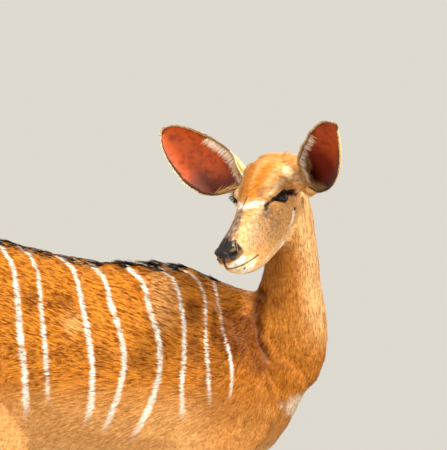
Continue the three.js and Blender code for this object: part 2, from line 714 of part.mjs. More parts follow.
function addNode(name, made, look) {
  const { vertProperties, triVerts, numProp } = largest(made).getMesh();
  const places = new Float32Array((vertProperties.length / numProp) * 3);
  for (let i = 0; i * numProp < vertProperties.length; i++)
    places.set(vertProperties.subarray(i * numProp, i * numProp + 3), i * 3);
  const geometry = new THREE.BufferGeometry();
  geometry.setAttribute("position", new THREE.BufferAttribute(places, 3));
  geometry.setIndex(new THREE.BufferAttribute(new Uint32Array(triVerts), 1));
  geometry.computeVertexNormals();
  const mesh = new THREE.Mesh(geometry, new THREE.MeshStandardMaterial({ metalness: 0, ...look }));
  mesh.name = name;
  group.add(mesh);
}

const behind = whole.trimByPlane(neckCut.normal.map((v) => -v), -(neckCut.offset - GAP));
const ahead = whole.trimByPlane(neckCut.normal, neckCut.offset);
const legSpaces = union(everyLeg.map(({ end, side }) => legRegion(end, side, GAP)));
const torso = largest(behind.subtract(legSpaces));
addNode("torso", union([torso, ...crestLocks()]), COAT);
addNode("neck", ahead.subtract(headGrown), COAT);
addNode("head", inPlace(detailedHead()), COAT);
addNode("tail", tailSolid().subtract(trunk(GAP)), PALE_COAT);

for (const { end, side } of everyLeg) {
  const onCoronet = vec(0, 0, coronet(end, side, 0));
  const above = behind.intersect(legRegion(end, side, 0))
    .trimByPlane(coronetUp.toArray(), coronetUp.dot(onCoronet));
  const claws = { outer: true, inner: false };
  const pits = union(Object.values(claws).map((outer) => dewclaw(end, side, outer, GAP)));
  addNode(`${end}leg_${side}`, above.subtract(pits), COAT);
  for (const [place, outer] of Object.entries(claws)) {
    addNode(`hoof_${end}_${side}_${place}`, clawSolid(end, side, outer), HORN);
    addNode(`dewclaw_${end}_${side}_${place}`, dewclaw(end, side, outer), HORN);
  }
}

for (const [side, sign] of Object.entries(SIDES)) {
  addNode(`ear_${side}`, earSolid(side).subtract(headGrown).subtract(neckGrown), PALE_COAT);
  const eye = vec(EYE_AT.x, EYE_AT.y * sign, EYE_AT.z);
  addNode(`eye_${side}`, inPlace(ellipsoid(eye, Array(3).fill(EYE_RADIUS), undefined, 16)), EYE);
}

const box = new THREE.Box3().setFromObject(group);
const middle = box.getCenter(vec(0, 0, 0));
group.position.set(-middle.x, -middle.y, -box.min.z);

export default group;
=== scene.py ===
"""A nyala ewe as a museum shows her: life size, standing, looking back over her right shoulder.

Every size in this script is in millimetres until it is placed: +x towards the chest, +y to the
animal's left, +z up, as in the part's own solids. Blender's own units are metres.
"""
import json
import math

import bmesh
import bpy
import numpy as np
from mathutils import Matrix, Vector
from mathutils.bvhtree import BVHTree

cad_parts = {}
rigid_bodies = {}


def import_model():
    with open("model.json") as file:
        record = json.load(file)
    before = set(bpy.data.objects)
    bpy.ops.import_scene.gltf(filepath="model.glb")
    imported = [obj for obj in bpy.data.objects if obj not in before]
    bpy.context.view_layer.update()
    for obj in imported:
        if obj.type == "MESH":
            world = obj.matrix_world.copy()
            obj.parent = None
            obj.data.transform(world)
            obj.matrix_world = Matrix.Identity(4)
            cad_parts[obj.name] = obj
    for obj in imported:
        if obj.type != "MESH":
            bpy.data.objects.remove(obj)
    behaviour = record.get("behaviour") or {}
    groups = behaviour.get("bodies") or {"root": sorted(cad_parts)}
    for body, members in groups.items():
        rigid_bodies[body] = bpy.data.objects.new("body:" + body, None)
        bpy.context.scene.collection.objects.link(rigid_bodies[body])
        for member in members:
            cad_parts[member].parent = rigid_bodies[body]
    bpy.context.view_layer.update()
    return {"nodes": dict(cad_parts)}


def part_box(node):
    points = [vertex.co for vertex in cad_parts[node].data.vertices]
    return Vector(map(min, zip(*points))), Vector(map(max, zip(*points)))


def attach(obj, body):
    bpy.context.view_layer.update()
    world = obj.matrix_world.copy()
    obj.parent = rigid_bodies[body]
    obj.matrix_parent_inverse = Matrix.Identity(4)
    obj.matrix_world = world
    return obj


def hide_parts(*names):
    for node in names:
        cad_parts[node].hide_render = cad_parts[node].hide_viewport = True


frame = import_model()

# Skin: one hide over torso, neck, head, legs and the core of the tail. In a mounted animal it is
# tanned leather glued over a modelled form, so it has no seam that shows, and it lies inside the
# solids by the depth of the coat that grows on it.
MM = 0.001
VOXEL = 2.0 * MM
FLESH = [
    "torso", "neck", "head", "tail",
    "foreleg_right", "foreleg_left", "hindleg_right", "hindleg_left",
]
EYE_AT = np.array([-6.0, 36.0, 2.0])  # left eye in the head's frame; the right one has -y
HEAD_TURN = np.array(
    Matrix.Rotation(math.radians(-122), 3, "Z")
    @ Matrix.Rotation(math.radians(35), 3, "Y")
    @ Matrix.Rotation(math.radians(2), 3, "X")
)
HEAD_AT = np.array([157.0, -150.0, 1005.0])

# The solids were moved as one from the body's frame: the eyes tell how far.
eye_middles = [np.array(sum(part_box(f"eye_{side}"), Vector())) / 2 for side in ("left", "right")]
SHIFT = sum(eye_middles) / 2 - MM * (HEAD_AT + HEAD_TURN @ (EYE_AT * [1, 0, 1]))


def placed(points):
    """Millimetres of the body's frame, as metres in the scene."""
    return np.asarray(points, float) * MM + SHIFT


def body_frame(points):
    """Metres in the scene, as millimetres of the body's frame."""
    return (np.asarray(points, float) - SHIFT) / MM


def head_frame(points):
    """Millimetres of the body's frame, as millimetres of the head's: x to the nose, z up."""
    return (np.asarray(points, float) - HEAD_AT) @ HEAD_TURN


def from_head(points):
    """Millimetres of the head's frame, as metres in the scene."""
    return placed(np.asarray(points, float) @ HEAD_TURN.T + HEAD_AT)


def deselect():
    bpy.ops.object.select_all(action="DESELECT")


def make_active(piece):
    deselect()
    piece.select_set(True)
    bpy.context.view_layer.objects.active = piece


def copy_of(name):
    """A loose copy of a solid, with its doubled points merged."""
    copy = frame["nodes"][name].copy()
    copy.data = copy.data.copy()
    copy.parent = None
    for key in list(copy.keys()):
        del copy[key]
    bpy.context.scene.collection.objects.link(copy)
    make_active(copy)
    bpy.ops.object.mode_set(mode="EDIT")
    bpy.ops.mesh.select_all(action="SELECT")
    bpy.ops.mesh.remove_doubles(threshold=0.00001)
    bpy.ops.object.mode_set(mode="OBJECT")
    return copy


def apply(piece, kind, **settings):
    """Puts a modifier on the piece and applies it."""
    make_active(piece)
    modifier = piece.modifiers.new(kind.lower(), kind)
    for key, value in settings.items():
        setattr(modifier, key, value)
    bpy.ops.object.modifier_apply(modifier=modifier.name)


def points_of(mesh):
    points = np.empty(len(mesh.vertices) * 3)
    mesh.vertices.foreach_get("co", points)
    return points.reshape(-1, 3)


def set_points(mesh, points):
    mesh.vertices.foreach_set("co", np.ascontiguousarray(points, np.float32).ravel())
    mesh.update()


def normals_of(mesh):
    normals = np.empty(len(mesh.vertices) * 3)
    mesh.vertex_normals.foreach_get("vector", normals)
    return normals.reshape(-1, 3)


def eased(value, start, end):
    """0 at start and 1 at end, with a soft run between them. start may be the higher one."""
    t = np.clip((np.asarray(value, float) - start) / (end - start), 0, 1)
    return t * t * (3 - 2 * t)


def spot(points, centre, radii):
    """1 in the middle of an oval, 0 outside it, soft between."""
    return eased(np.linalg.norm((points - centre) / radii, axis=1), 1.25, 0.75)


def stroke(points, start, end, half, soft=1.5):
    """1 within half of the line from start to end, 0 beyond."""
    a, b = np.array(start, float), np.array(end, float)
    t = np.clip((points - a) @ (b - a) / ((b - a) @ (b - a)), 0, 1)
    away = np.linalg.norm(points - a - t[:, None] * (b - a), axis=1)
    return eased(away, half + soft, half - soft)


def wander(points, size, seed=0):
    """Smooth random values from -1 to 1 that change over about size millimetres."""
    points = points / size
    cell = np.floor(points).astype(np.int64)
    part = points - cell
    part = part * part * (3 - 2 * part)
    total = np.zeros(len(points))
    for corner in range(8):
        step = np.array([corner & 1, corner >> 1 & 1, corner >> 2 & 1])
        key = (cell + step) @ np.array([73856093, 19349663, 83492791]) + seed * 7919
        key = ((key ^ (key >> 13)) * 1274126177) & 0x7FFFFFFF
        value = ((key ^ (key >> 15)) % 65521) / 32760 - 1
        total += value * np.prod(np.where(step, part, 1 - part), axis=1)
    return total


# Balls of muscle, as x, y, z and radius in the head's frame, carry the skin out to each ear. The left
# ear is turned aside and draws more of the crown and the cheek with it.
EAR_ROOTS = {"right": np.array([-73.0, -61.0, -7.0]), "left": np.array([-73.0, 78.0, -10.0])}
EAR_MUSCLES = [
    (-73, -57, -7, 14), (-73, -47, -7, 17), (-73, -33, -7, 20), (-76, -43, 13, 19),
    (-74, 66, -12, 14), (-73, 52, -10, 20), (-80, 50, 21, 20), (-80, 34, 28, 17),
    (-72, 75, -27, 13), (-70, 84, -25, 10), (-74, 62, -32, 13),
]
parts = [copy_of(name) for name in FLESH]
for *middle, radius in EAR_MUSCLES:
    place = from_head([middle])[0]
    bpy.ops.mesh.primitive_uv_sphere_add(segments=24, ring_count=16, radius=radius * MM, location=place)
    bpy.ops.object.transform_apply(location=True, rotation=True, scale=True)
    parts.append(bpy.context.active_object)
deselect()
for part in parts:
    part.select_set(True)
bpy.context.view_layer.objects.active = parts[0]
bpy.ops.object.join()
skin = parts[0]
skin.name = "skin"
skin.data.materials.clear()
# The solids keep a small gap between them: grown by this, they meet and melt into one.
set_points(skin.data, points_of(skin.data) + 0.4 * MM * normals_of(skin.data))
apply(skin, "REMESH", mode="VOXEL", voxel_size=VOXEL)


def keep_largest(piece):
    """Deletes all but the connected surface that holds its highest, foremost point, taken to be the biggest.
    """
    make_active(piece)
    bpy.ops.object.mode_set(mode="EDIT")
    bpy.ops.mesh.select_all(action="DESELECT")
    mesh = bmesh.from_edit_mesh(piece.data)
    mesh.verts.ensure_lookup_table()
    max(mesh.verts, key=lambda v: v.co.z + v.co.x).select_set(True)
    bpy.ops.mesh.select_linked()
    bpy.ops.mesh.select_all(action="INVERT")
    bpy.ops.mesh.delete(type="VERT")
    bpy.ops.object.mode_set(mode="OBJECT")


keep_largest(skin)

WEIGHT_STEPS = 20


def folded(head):
    """Points of the head's frame, with its right half folded onto its left."""
    return np.stack([head[:, 0], np.abs(head[:, 1]), head[:, 2]], axis=1)


def in_three_frames(mesh):
    """The points of a mesh in the body's frame, in the head's, and folded."""
    body = body_frame(points_of(mesh))
    head = head_frame(body)
    return body, head, folded(head)


def weigh(piece, name, weights):
    """Puts weights from 0 to 1, rounded to even steps, in a vertex group of the piece."""
    group = piece.vertex_groups.new(name=name)
    for step in range(1, WEIGHT_STEPS + 1):
        chosen = np.flatnonzero(np.round(weights * WEIGHT_STEPS) == step)
        if len(chosen):
            group.add(chosen.tolist(), step / WEIGHT_STEPS, "REPLACE")


# The solids' flat faces are smoothed away, least where the form is fine.
body, head, fold = in_three_frames(skin.data)
in_head = (
    eased(head[:, 0], -118, -100) * eased(np.abs(head[:, 1]), 74, 64)
    * eased(head[:, 2], -125, -108) * eased(head[:, 2], 75, 65)
)
fine = np.maximum.reduce([
    spot(fold, EYE_AT, (34, 26, 26)), spot(fold, (155, 16, -18), (26, 26, 24)),
    spot(fold, (132, 14, -50), (56, 30, 12)),
])
soft = 1 - 0.45 * in_head
soft *= 1 - 0.85 * eased(body[:, 2], 400, 300)
soft *= 1 - 0.92 * fine * in_head
weigh(skin, "soft", soft)
apply(skin, "SMOOTH", factor=0.5, iterations=80, vertex_group="soft")


# Muscles and hollows, as the middle on the left side, the radii, and how far the skin stands out
# there, or in where that is below 0. Those of the head are in its own frame.
BODY_FORMS = [
    ((100, 92, 742), (52, 60, 60), 3),  # shoulder blade
    ((18, 100, 668), (62, 60, 62), 5),  # triceps
    ((-42, 110, 610), (26, 50, 80), -4),  # hollow behind the elbow
    ((-270, 110, 640), (34, 60, 90), -6),  # hollow of the flank
    ((-262, 78, 575), (22, 40, 50), 4),  # fold that runs to the stifle
    ((-420, 100, 700), (80, 50, 90), 6),  # thigh
    ((-390, 105, 845), (34, 40, 26), 3),  # point of the hip
]
HEAD_FORMS = [
    ((-2, 38, 22), (26, 12, 7), 2.0),  # brow
    ((30, 30, -18), (34, 14, 16), -2.0),  # hollow before the eye
    ((10, 42, -24), (34, 14, 8), 1.5),  # cheek bone
    ((112, 18, 4), (24, 8, 8), -1.2),  # dip behind the nostril
    ((128, 20, -40), (26, 14, 6), 1.4),  # upper lip
    ((120, 10, -64), (22, 22, 8), 1.2),  # chin
    ((66, 23, 2), (26, 5, 5), 1.2),  # ridge beside the bridge of the nose
]


def swell(points, middle, radii, amount):
    """How far out the skin moves round a place."""
    away = np.linalg.norm((points - middle) / radii, axis=1)
    return amount * np.exp(-2 * away**2)


body, head, fold = in_three_frames(skin.data)
outward = np.zeros(len(body))
for side in (-1, 1):
    for (x, y, z), radii, amount in BODY_FORMS:
        outward += swell(body, (x, y * side, z), radii, amount)

# The turned neck folds the skin along its border with the shoulder, on the side it turns to.
# It is a line of points (x, z) in the side view.
CREASE = [(162, 838), (153, 801), (152, 780), (158, 747), (168, 722), (182, 690)]


def from_crease(x, z):
    """Millimetres from the fold, in the side view, and 1 along it that fades at its ends."""
    away = np.full(len(x), 1e9)
    for (ax, az), (bx, bz) in zip(CREASE, CREASE[1:]):
        run, rise = bx - ax, bz - az
        t = np.clip(((x - ax) * run + (z - az) * rise) / (run**2 + rise**2), 0, 1)
        away = np.minimum(away, np.hypot(x - ax - t * run, z - az - t * rise))
    return away, eased(z, 690, 735) * eased(z, 850, 825)


away, along_crease = from_crease(body[:, 0], body[:, 2])
near_side = eased(body[:, 1], -12, -34)
outward -= 8 * np.exp(-((away / 9) ** 2)) * along_crease * near_side
outward += 3 * np.exp(-((away - 30) ** 2) / 260) * along_crease * near_side
for middle, radii, amount in HEAD_FORMS:
    outward += swell(fold, middle, radii, amount) * in_head
MOUTH = [(93, -58), (107, -55.4), (121, -52.6), (136, -48.8), (154, -43.6), (170, -37.5)]


def from_mouth(head):
    """Millimetres from the line between the lips, up or down, and 1 along that line."""
    level = np.interp(head[:, 0], [m[0] for m in MOUTH], [m[1] for m in MOUTH])
    return np.abs(head[:, 2] - level), eased(head[:, 0], 90, 97)


away, along_mouth = from_mouth(head)
outward -= 1.8 * np.exp(-((away / 2.2) ** 2)) * along_mouth * in_head

# The depth of coat that covers the skin: thick on the trunk, thin on the face and the lower legs.
depth = 2.6 - 1.7 * in_head - 1.4 * eased(body[:, 2], 460, 380)
set_points(skin.data, points_of(skin.data) + MM * (outward - depth)[:, None] * normals_of(skin.data))

# Eight white stripes hang over each side from the crest, as points (x, z) in the side view, and
# narrower ones over the rump, with the half width of each.
STRIPES = [
    (5.4, [(-329, 925), (-302, 873), (-293, 796), (-289, 738), (-281, 680), (-279, 597)]),
    (3.6, [(-300, 924), (-271, 899), (-256, 862), (-250, 796), (-243, 731), (-237, 623)]),
    (4.8, [(-220, 903), (-190, 873), (-175, 819), (-161, 744), (-154, 690), (-155, 640), (-166, 583)]),
    (4.8, [(-162, 890), (-131, 855), (-120, 813), (-100, 747), (-94, 700), (-103, 652), (-133, 568)]),
    (4.8, [(-94, 884), (-60, 850), (-45, 795), (-29, 740), (-27, 695), (-41, 634), (-81, 554)]),
    (3.8, [(-34, 880), (0, 852), (11, 815), (18, 767), (18, 715), (14, 657), (16, 590)]),
    (2.8, [(13, 879), (45, 852), (58, 813), (59, 750), (64, 680), (66, 622)]),
    (2.4, [(72, 862), (83, 807), (92, 758), (106, 703), (108, 668), (102, 630)]),
    (4.6, [(-395, 950), (-362, 900), (-352, 830), (-345, 745), (-338, 650)]),
    (4.2, [(-445, 950), (-415, 900), (-405, 840), (-400, 760), (-392, 700)]),
    (3.8, [(-490, 935), (-468, 890), (-462, 830), (-458, 770)]),
]
HAUNCH_SPOTS = [(-430, 665, 7), (-470, 705, 6), (-395, 640, 6), (-500, 770, 6), (-452, 618, 5)]
CAMERA_DISTANCE = 9000.0  # from the animal's midline
PICTURE_MIDDLE = (91.2, 959.0)


def side_view(points):
    """Where a point shows in the side view, and its like on the other side at the same place."""
    k = CAMERA_DISTANCE / (CAMERA_DISTANCE - np.abs(points[:, 1]))
    x = PICTURE_MIDDLE[0] + (points[:, 0] - PICTURE_MIDDLE[0]) * k
    z = PICTURE_MIDDLE[1] + (points[:, 2] - PICTURE_MIDDLE[1]) * k
    return x, z


def smooth_line(points, at):
    """A smooth curve through a few (value, place) pairs, read at many places."""
    points = sorted((p[1], p[0]) for p in points)
    places = np.array([p[0] for p in points], float)
    values = np.array([p[1] for p in points], float)
    rises = np.diff(values) / np.diff(places)
    before, after = np.append(rises[0], rises), np.append(rises, rises[-1])
    # Where the rise changes sign the curve is level, so it never swings past a point.
    total = np.where(before + after == 0, 1, before + after)
    slopes = np.where(before * after > 0, 2 * before * after / total, 0)
    at = np.clip(at, places[0], places[-1] - 1e-6)
    i = np.searchsorted(places, at, side="right") - 1
    wide = places[i + 1] - places[i]
    t = (at - places[i]) / wide
    u = 1 - t
    curve = (
        u * u * (1 + 2 * t) * values[i] + t * u * u * wide * slopes[i]
        + t * t * (3 - 2 * t) * values[i + 1] - t * t * u * wide * slopes[i + 1]
    )
    return curve


def stripes_at(points, margin=0.0):
    """The share of white at points of the body's frame, on stripes wider by margin on each side."""
    x, z = side_view(points)
    ragged = 1.9 * wander(points * [0.3, 1, 1], 2.4, 5) + 0.7 * wander(points, 12, 6)
    marks = np.zeros(len(points))
    for half, line in STRIPES:
        top = max(p[1] for p in line)
        low = min(p[1] for p in line)
        place = smooth_line(line, z)
        slope = smooth_line(line, z + 2) - place
        away = np.abs(x - place) / np.sqrt(1 + (slope / 2) ** 2) + ragged
        wide = half * (0.72 + 0.28 * eased(z, 880, 800) + 0.15 * eased(z, 700, 620)) + margin
        mark = eased(away, wide + 1.2, wide - 1.8) * eased(z, low - 8, low + 40)
        marks = np.maximum(marks, mark * eased(z, top + 30, top + 10))
    for sx, sz, radius in HAUNCH_SPOTS:
        marks = np.maximum(marks, eased(np.hypot(x - sx, z - sz) + ragged, radius + 2, radius - 2))
    return marks


# Fewer faces on the trunk between the stripes, and all of them on the head.
HIDE_TRIANGLES = 190000
skin.vertex_groups.clear()
striped = stripes_at(body, margin=2.5) * eased(body[:, 2], 540, 600)
weigh(skin, "plain", 1 - np.maximum(0.9 * in_head, 0.8 * striped))
count = sum(len(p.vertices) - 2 for p in skin.data.polygons)
apply(
    skin, "DECIMATE", ratio=min(1.0, HIDE_TRIANGLES / count), vertex_group="plain",
    vertex_group_factor=1.0,
)
skin.vertex_groups.clear()
make_active(skin)
bpy.ops.object.shade_smooth()
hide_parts(*FLESH)
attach(skin, "root")

# Lie of the hair and the markings, worked out at each point of the hide, for the hide and for the
# tufts that stand on it. Names of the fields: see the materials that read them.
skin.data.calc_loop_triangles()
faces = np.empty(len(skin.data.loop_triangles) * 3, np.int32)
skin.data.loop_triangles.foreach_get("vertices", faces)
faces = faces.reshape(-1, 3)
hide = points_of(skin.data)
normal = normals_of(skin.data)
body, head, fold = in_three_frames(skin.data)

# Which solid each point belongs to
corners, triangles, owner = [], [], []
for number, name in enumerate(FLESH):
    mesh = frame["nodes"][name].data
    base = len(corners)
    corners += [v.co.copy() for v in mesh.vertices]
    for polygon in mesh.polygons:
        triangles.append([base + v for v in polygon.vertices])
        owner.append(number)
nearest = BVHTree.FromPolygons(corners, triangles)
belongs = np.array([owner[nearest.find_nearest(Vector(p))[2]] for p in hide])
region = {name: (belongs == number).astype(float) for number, name in enumerate(FLESH)}
region["legs"] = sum(region[name] for name in FLESH if "leg" in name)

edges = np.concatenate([faces[:, [0, 1]], faces[:, [1, 2]], faces[:, [2, 0]]])
neighbours = np.bincount(edges.ravel(), minlength=len(hide)).astype(float)


def spread(field, rounds):
    """Evens a field out over neighbouring points of the hide."""
    field = np.array(field, float)
    columns = field.reshape(len(field), -1)
    for _ in range(rounds):
        for i in range(columns.shape[1]):
            column = columns[:, i]
            total = np.bincount(edges[:, 0], column[edges[:, 1]], len(hide))
            total += np.bincount(edges[:, 1], column[edges[:, 0]], len(hide))
            columns[:, i] = total / neighbours
    return columns.reshape(field.shape)


SOFTEN = 20
blend = {name: spread(field, SOFTEN) for name, field in region.items()}

# Hair lies back and down over the trunk, down the neck and the legs, and from the nose to the poll.
wave = wander(body * [1, 1, 1.4], 60, 3)
droop = 0.42 * eased(body[:, 2], 665, 740) - 0.5 * eased(body[:, 2], 670, 590)
droop -= 1.7 * eased(body[:, 0], 60, 150)
lie = blend["torso"][:, None] * np.stack([-np.ones(len(body)), 0 * wave, droop + 0.12 * wave], axis=1)
lie += blend["neck"][:, None] * np.stack([0.12 * wave, -0.1 + 0 * wave, -1 + 0 * wave], axis=1)
lie += blend["legs"][:, None] * np.stack([-0.22 + 0 * wave, 0 * wave, -1 + 0 * wave], axis=1)
lie += blend["tail"][:, None] * np.array([0, 0, -1.0])
from_nose = np.stack([
    -np.ones(len(head)), 0.35 * np.sign(head[:, 1]), -0.25 * eased(head[:, 2], 20, -20)
], axis=1)
lie += blend["head"][:, None] * (from_nose @ HEAD_TURN.T)


def tangent(direction, up):
    """The direction, laid flat on the surface, at length 1."""
    flat = direction - up * np.sum(direction * up, axis=1)[:, None]
    return flat / np.maximum(np.linalg.norm(flat, axis=1), 1e-6)[:, None]


lie = tangent(spread(tangent(lie, normal), SOFTEN), normal)

# Darker and paler smudges in the coat: colour, strength, x, z and the two radii. The deep ones from x 75
# forward, over the shoulder and the foot of the neck, are partly the shoulder's darker coat and partly
# painted shadow cast by the head and neck.
SMUDGES_AND_SHADOW = [
    ("deep", 0.55, -271, 818, 16, 22), ("deep", 0.55, -209, 812, 30, 18), ("deep", 0.80, 36, 792, 16, 26),
    ("deep", 0.60, 36, 726, 16, 28), ("deep", 0.70, 75, 765, 7, 38), ("deep", 0.75, 118, 758, 44, 42),
    ("deep", 0.45, -137, 714, 18, 30), ("deep", 0.40, -66, 709, 22, 24), ("deep", 0.30, -194, 716, 34, 18),
    ("deep", 0.70, 112, 765, 36, 50), ("deep", 0.45, 150, 712, 30, 34), ("deep", 0.45, 196, 790, 14, 90),
    ("deep", 0.42, 110, 650, 90, 90), ("deep", 0.50, 215, 690, 44, 70), ("deep", 0.40, 200, 860, 50, 70),
    ("pale", 0.55, -20, 822, 30, 62), ("pale", 0.45, -188, 776, 24, 22),
]
# Marks of the face on its left half: colour, strength, middle and radii
FACE_SPOTS = [
    ("pale", 0.30, (-16, 38, 26), (26, 14, 14)),  # over the eye
    ("pale", -0.50, (-86, 20, 40), (26, 34, 18)),  # crown
    ("pale", 0.35, (20, 34, -30), (70, 20, 34)),  # cheek
    ("cream", 0.95, (-54, 44, 22), (13, 10, 14)),  # behind the eye
    ("cream", 0.28, (92, 22, -14), (46, 12, 24)),  # side of the muzzle
    ("cream", 0.90, (138, 16, -58), (38, 24, 20)),  # chin
    ("cream", 0.40, (50, 26, 6), (26, 8, 8)),  # beside the bridge of the nose
    ("deep", 0.35, (16, 22, 30), (16, 8, 8)),  # inner end of the brow
    ("deep", 0.35, (-74, 68, -12), (20, 20, 24)),  # foot of the ear
    ("deep", -0.30, (20, 30, -20), (50, 20, 30)),  # cheek
    # Deep under the brow is painted shade.
    ("deep", 0.30, (14, 42, 13), (20, 8, 6)),  # under the brow
    ("grey", 0.50, (34, 34, -4), (14, 10, 10)),  # before the eye
    # Grey in the hollow of the cheek is painted shade.
    ("grey", 0.25, (60, 30, -30), (50, 20, 30)),  # hollow of the cheek
    ("grey", 0.50, (-70, 52, 2), (14, 16, 18)),  # before the ear
    ("grey", 0.12, (92, 22, -10), (50, 16, 30)),  # side of the muzzle
    ("white", 1.00, (12, 20, -93), (9, 9, 8)),  # under the jaw
    ("white", 0.80, (132, 14, -64), (20, 14, 9)),  # chin
    ("black", 1.00, (-33, 45, -44.5), (4, 5, 3.2)),  # mole over the white line on the cheek
    ("black", 1.00, (139, 19, -57), (3, 5, 2.6)),  # mole on the chin
]
# The same as lines: colour, strength, both ends, half width and softness of the edge
FACE_LINES = [
    ("tan", -0.90, (24, 8, 30), (-40, 17, 45), 10, 8),  # redder band up the forehead
    ("pale", -0.75, (24, 8, 30), (-62, 20, 45), 11, 8),
    ("cream", 0.75, (14, 36, 20), (-30, 46, 20), 4.5, 4),  # edge of the brow
    ("deep", 0.55, (48, 26, 4), (86, 20, -1), 0.8, 1.6),  # vein beside the nose
    # Deep along the fold before the ear is painted shade.
    ("deep", 0.90, (-60, 30, 44), (-76, 44, 30), 2.0, 2.5),  # fold before the ear
    ("white", 1.00, (-27, 44.5, -47.5), (-11, 37, -67), 3.6, 1.5),  # white line on the cheek
]


def markings_at(points, up, part):
    """The share of each colour of the coat at points of the body's frame. part is blend's fields."""
    head = head_frame(points)
    fold = folded(head)
    x, z = side_view(points)
    patchy = wander(points, 34, 8)
    face, legs, neck = part["head"], part["legs"], part["neck"]
    haunch = legs * eased(z, 555, 605)
    trunk = part["torso"] + haunch
    shank = legs - haunch
    above = up[:, 2]
    fields = {}

    # Trunk, neck and legs
    low = eased(z + 14 * patchy, 680, 585) * (trunk + shank) * (1 - 0.6 * eased(x, 10, 110))
    under = eased(above, -0.45, -0.95) * trunk
    inner = eased(up[:, 1] * np.sign(points[:, 1]), 0.1, -0.6) * legs
    # The front of the neck is paler high up: partly the throat's paler hair, partly painted sunlight on the
    # side turned to the light.
    sunlit_throat = eased(up[:, 0], -0.1, 0.8) * neck * eased(z, 700, 800)
    fields["tan"] = 0.25 * neck + 0.5 * sunlit_throat + 0.9 * face + 0.35 * shank + 0.25 * low
    fields["pale"] = 0.72 * low + 0.7 * under + 0.45 * shank * eased(z, 560, 420) + 0.6 * sunlit_throat
    fields["cream"] = 0.7 * inner + 0.4 * under + 0.25 * sunlit_throat
    # Painted shade on the side of the neck turned from the light.
    fields["deep"] = 0.35 * neck * eased(up[:, 0], -0.2, -0.9)
    # Smudges on the trunk and neck; the deep ones over the shoulder are partly painted shadow.
    for name, strength, sx, sz, wide, high in SMUDGES_AND_SHADOW:
        away = np.hypot((x - sx) / wide, (z - sz) / high) + 0.3 * wander(points, 15, 11)
        fields[name] = fields[name] + strength * eased(away, 1.35, 0.55) * (trunk + 0.4 * neck)
    # Painted shade in the fold between the neck and the shoulder, on the near side.
    fold_away, along_fold = from_crease(x, z)
    near = eased(points[:, 1], -12, -34) * along_fold
    fields["deep"] = fields["deep"] + near * np.exp(-((fold_away / 13) ** 2))
    back = eased(np.abs(points[:, 1]), 34, 12) * eased(above, 0.5, 0.9)
    fields["grey"] = 0.5 * shank * eased(z, 130, 60) + 0.12 * trunk * back
    ruffled = points + 7 * wander(points, 9, 16)[:, None]
    patch = spot(ruffled, (210, 0, 626), (46, 58, 27)) * eased(x + z, 786, 826)
    sock = eased(np.abs(z - 92), 15, 8) * eased(up[:, 0], 0.2, 0.6)
    shadow = 0.55 * eased(np.hypot((x - 90) / 16, (z - 775) / 32), 1.3, 0.6)
    fields["white"] = trunk * stripes_at(points) * (0.84 + 0.1 * wander(points, 9, 9) - shadow) + shank * sock
    fields["white"] = fields["white"] + (neck + trunk) * patch * (0.5 + 0.3 * wander(points, 5, 13))
    fields["cream"] = fields["cream"] + (neck + trunk) * patch * 0.6
    ridge = eased(np.abs(points[:, 1]) + 1.5 * wander(points, 8, 2), 7, 4.5) * eased(above, 0.5, 0.8)
    # The crest is black; a faint black line along the fold at the neck's foot is painted shade.
    fields["black"] = trunk * ridge * eased(points[:, 0], 130, 100) + near * 0.3 * eased(fold_away, 9, 2)
    fields["black"] = fields["black"] + shank * eased(z + 4 * wander(points, 10, 7), 62, 50)

    # Face
    hx, hy, hz = fold.T
    fields["pale"] = fields["pale"] + 0.56 * face
    fields["cream"] = fields["cream"] + 0.45 * face * eased(hz, -66, -84)
    for name, strength, middle, radii in FACE_SPOTS:
        fields[name] = fields[name] + strength * face * spot(fold, middle, radii)
    for name, strength, start, end, half, soft in FACE_LINES:
        fields[name] = fields[name] + strength * face * stroke(fold, start, end, half, soft)
    dash = np.maximum(
        stroke(fold, (53, 5, 22), (39, 20, 18), 6.4), stroke(fold, (42, 18, 18), (28, 29, 13.5), 4.4)
    )
    lip = spot(fold, (152, 17, -34), (22, 16, 10)) * eased(hz, -25, -28)
    speckle = eased(wander(head, 2.6, 12), 0.25, 0.6)
    fields["white"] = fields["white"] + face * (
        dash * (0.76 - 0.4 * speckle) + lip * (1 - 0.5 * speckle)
    )
    band = 6 + 0.09 * (hx - 62)
    bridge = eased(hy + 4 * wander(head * [0.4, 1, 1], 4, 4), band + 5, band - 5)
    bridge = bridge * eased(hx, 52, 68) * eased(hz, -16, -4)
    crease = eased(hy + 0.8 * wander(head, 5, 14), 2.4, 0.8) * eased(hx, 22, 34) * eased(hx, 66, 56)
    pad = eased(hx - 146 + 14 * eased(hy, 3, 15) + wander(head, 6, 1), -2, 2) * eased(hz, -26.5, -23.5)
    # The nostril is painted black over its opening: painted shade of the opening.
    nostril = np.maximum(
        spot(fold, (157, 20.5, -13), (13, 10, 9)), stroke(fold, (150, 21, -13), (130, 16, 2), 3.0, 1.5)
    )
    philtrum = eased(hy, 3.4, 1.6) * eased(hx, 152, 158) * eased(hz, -39, -36)
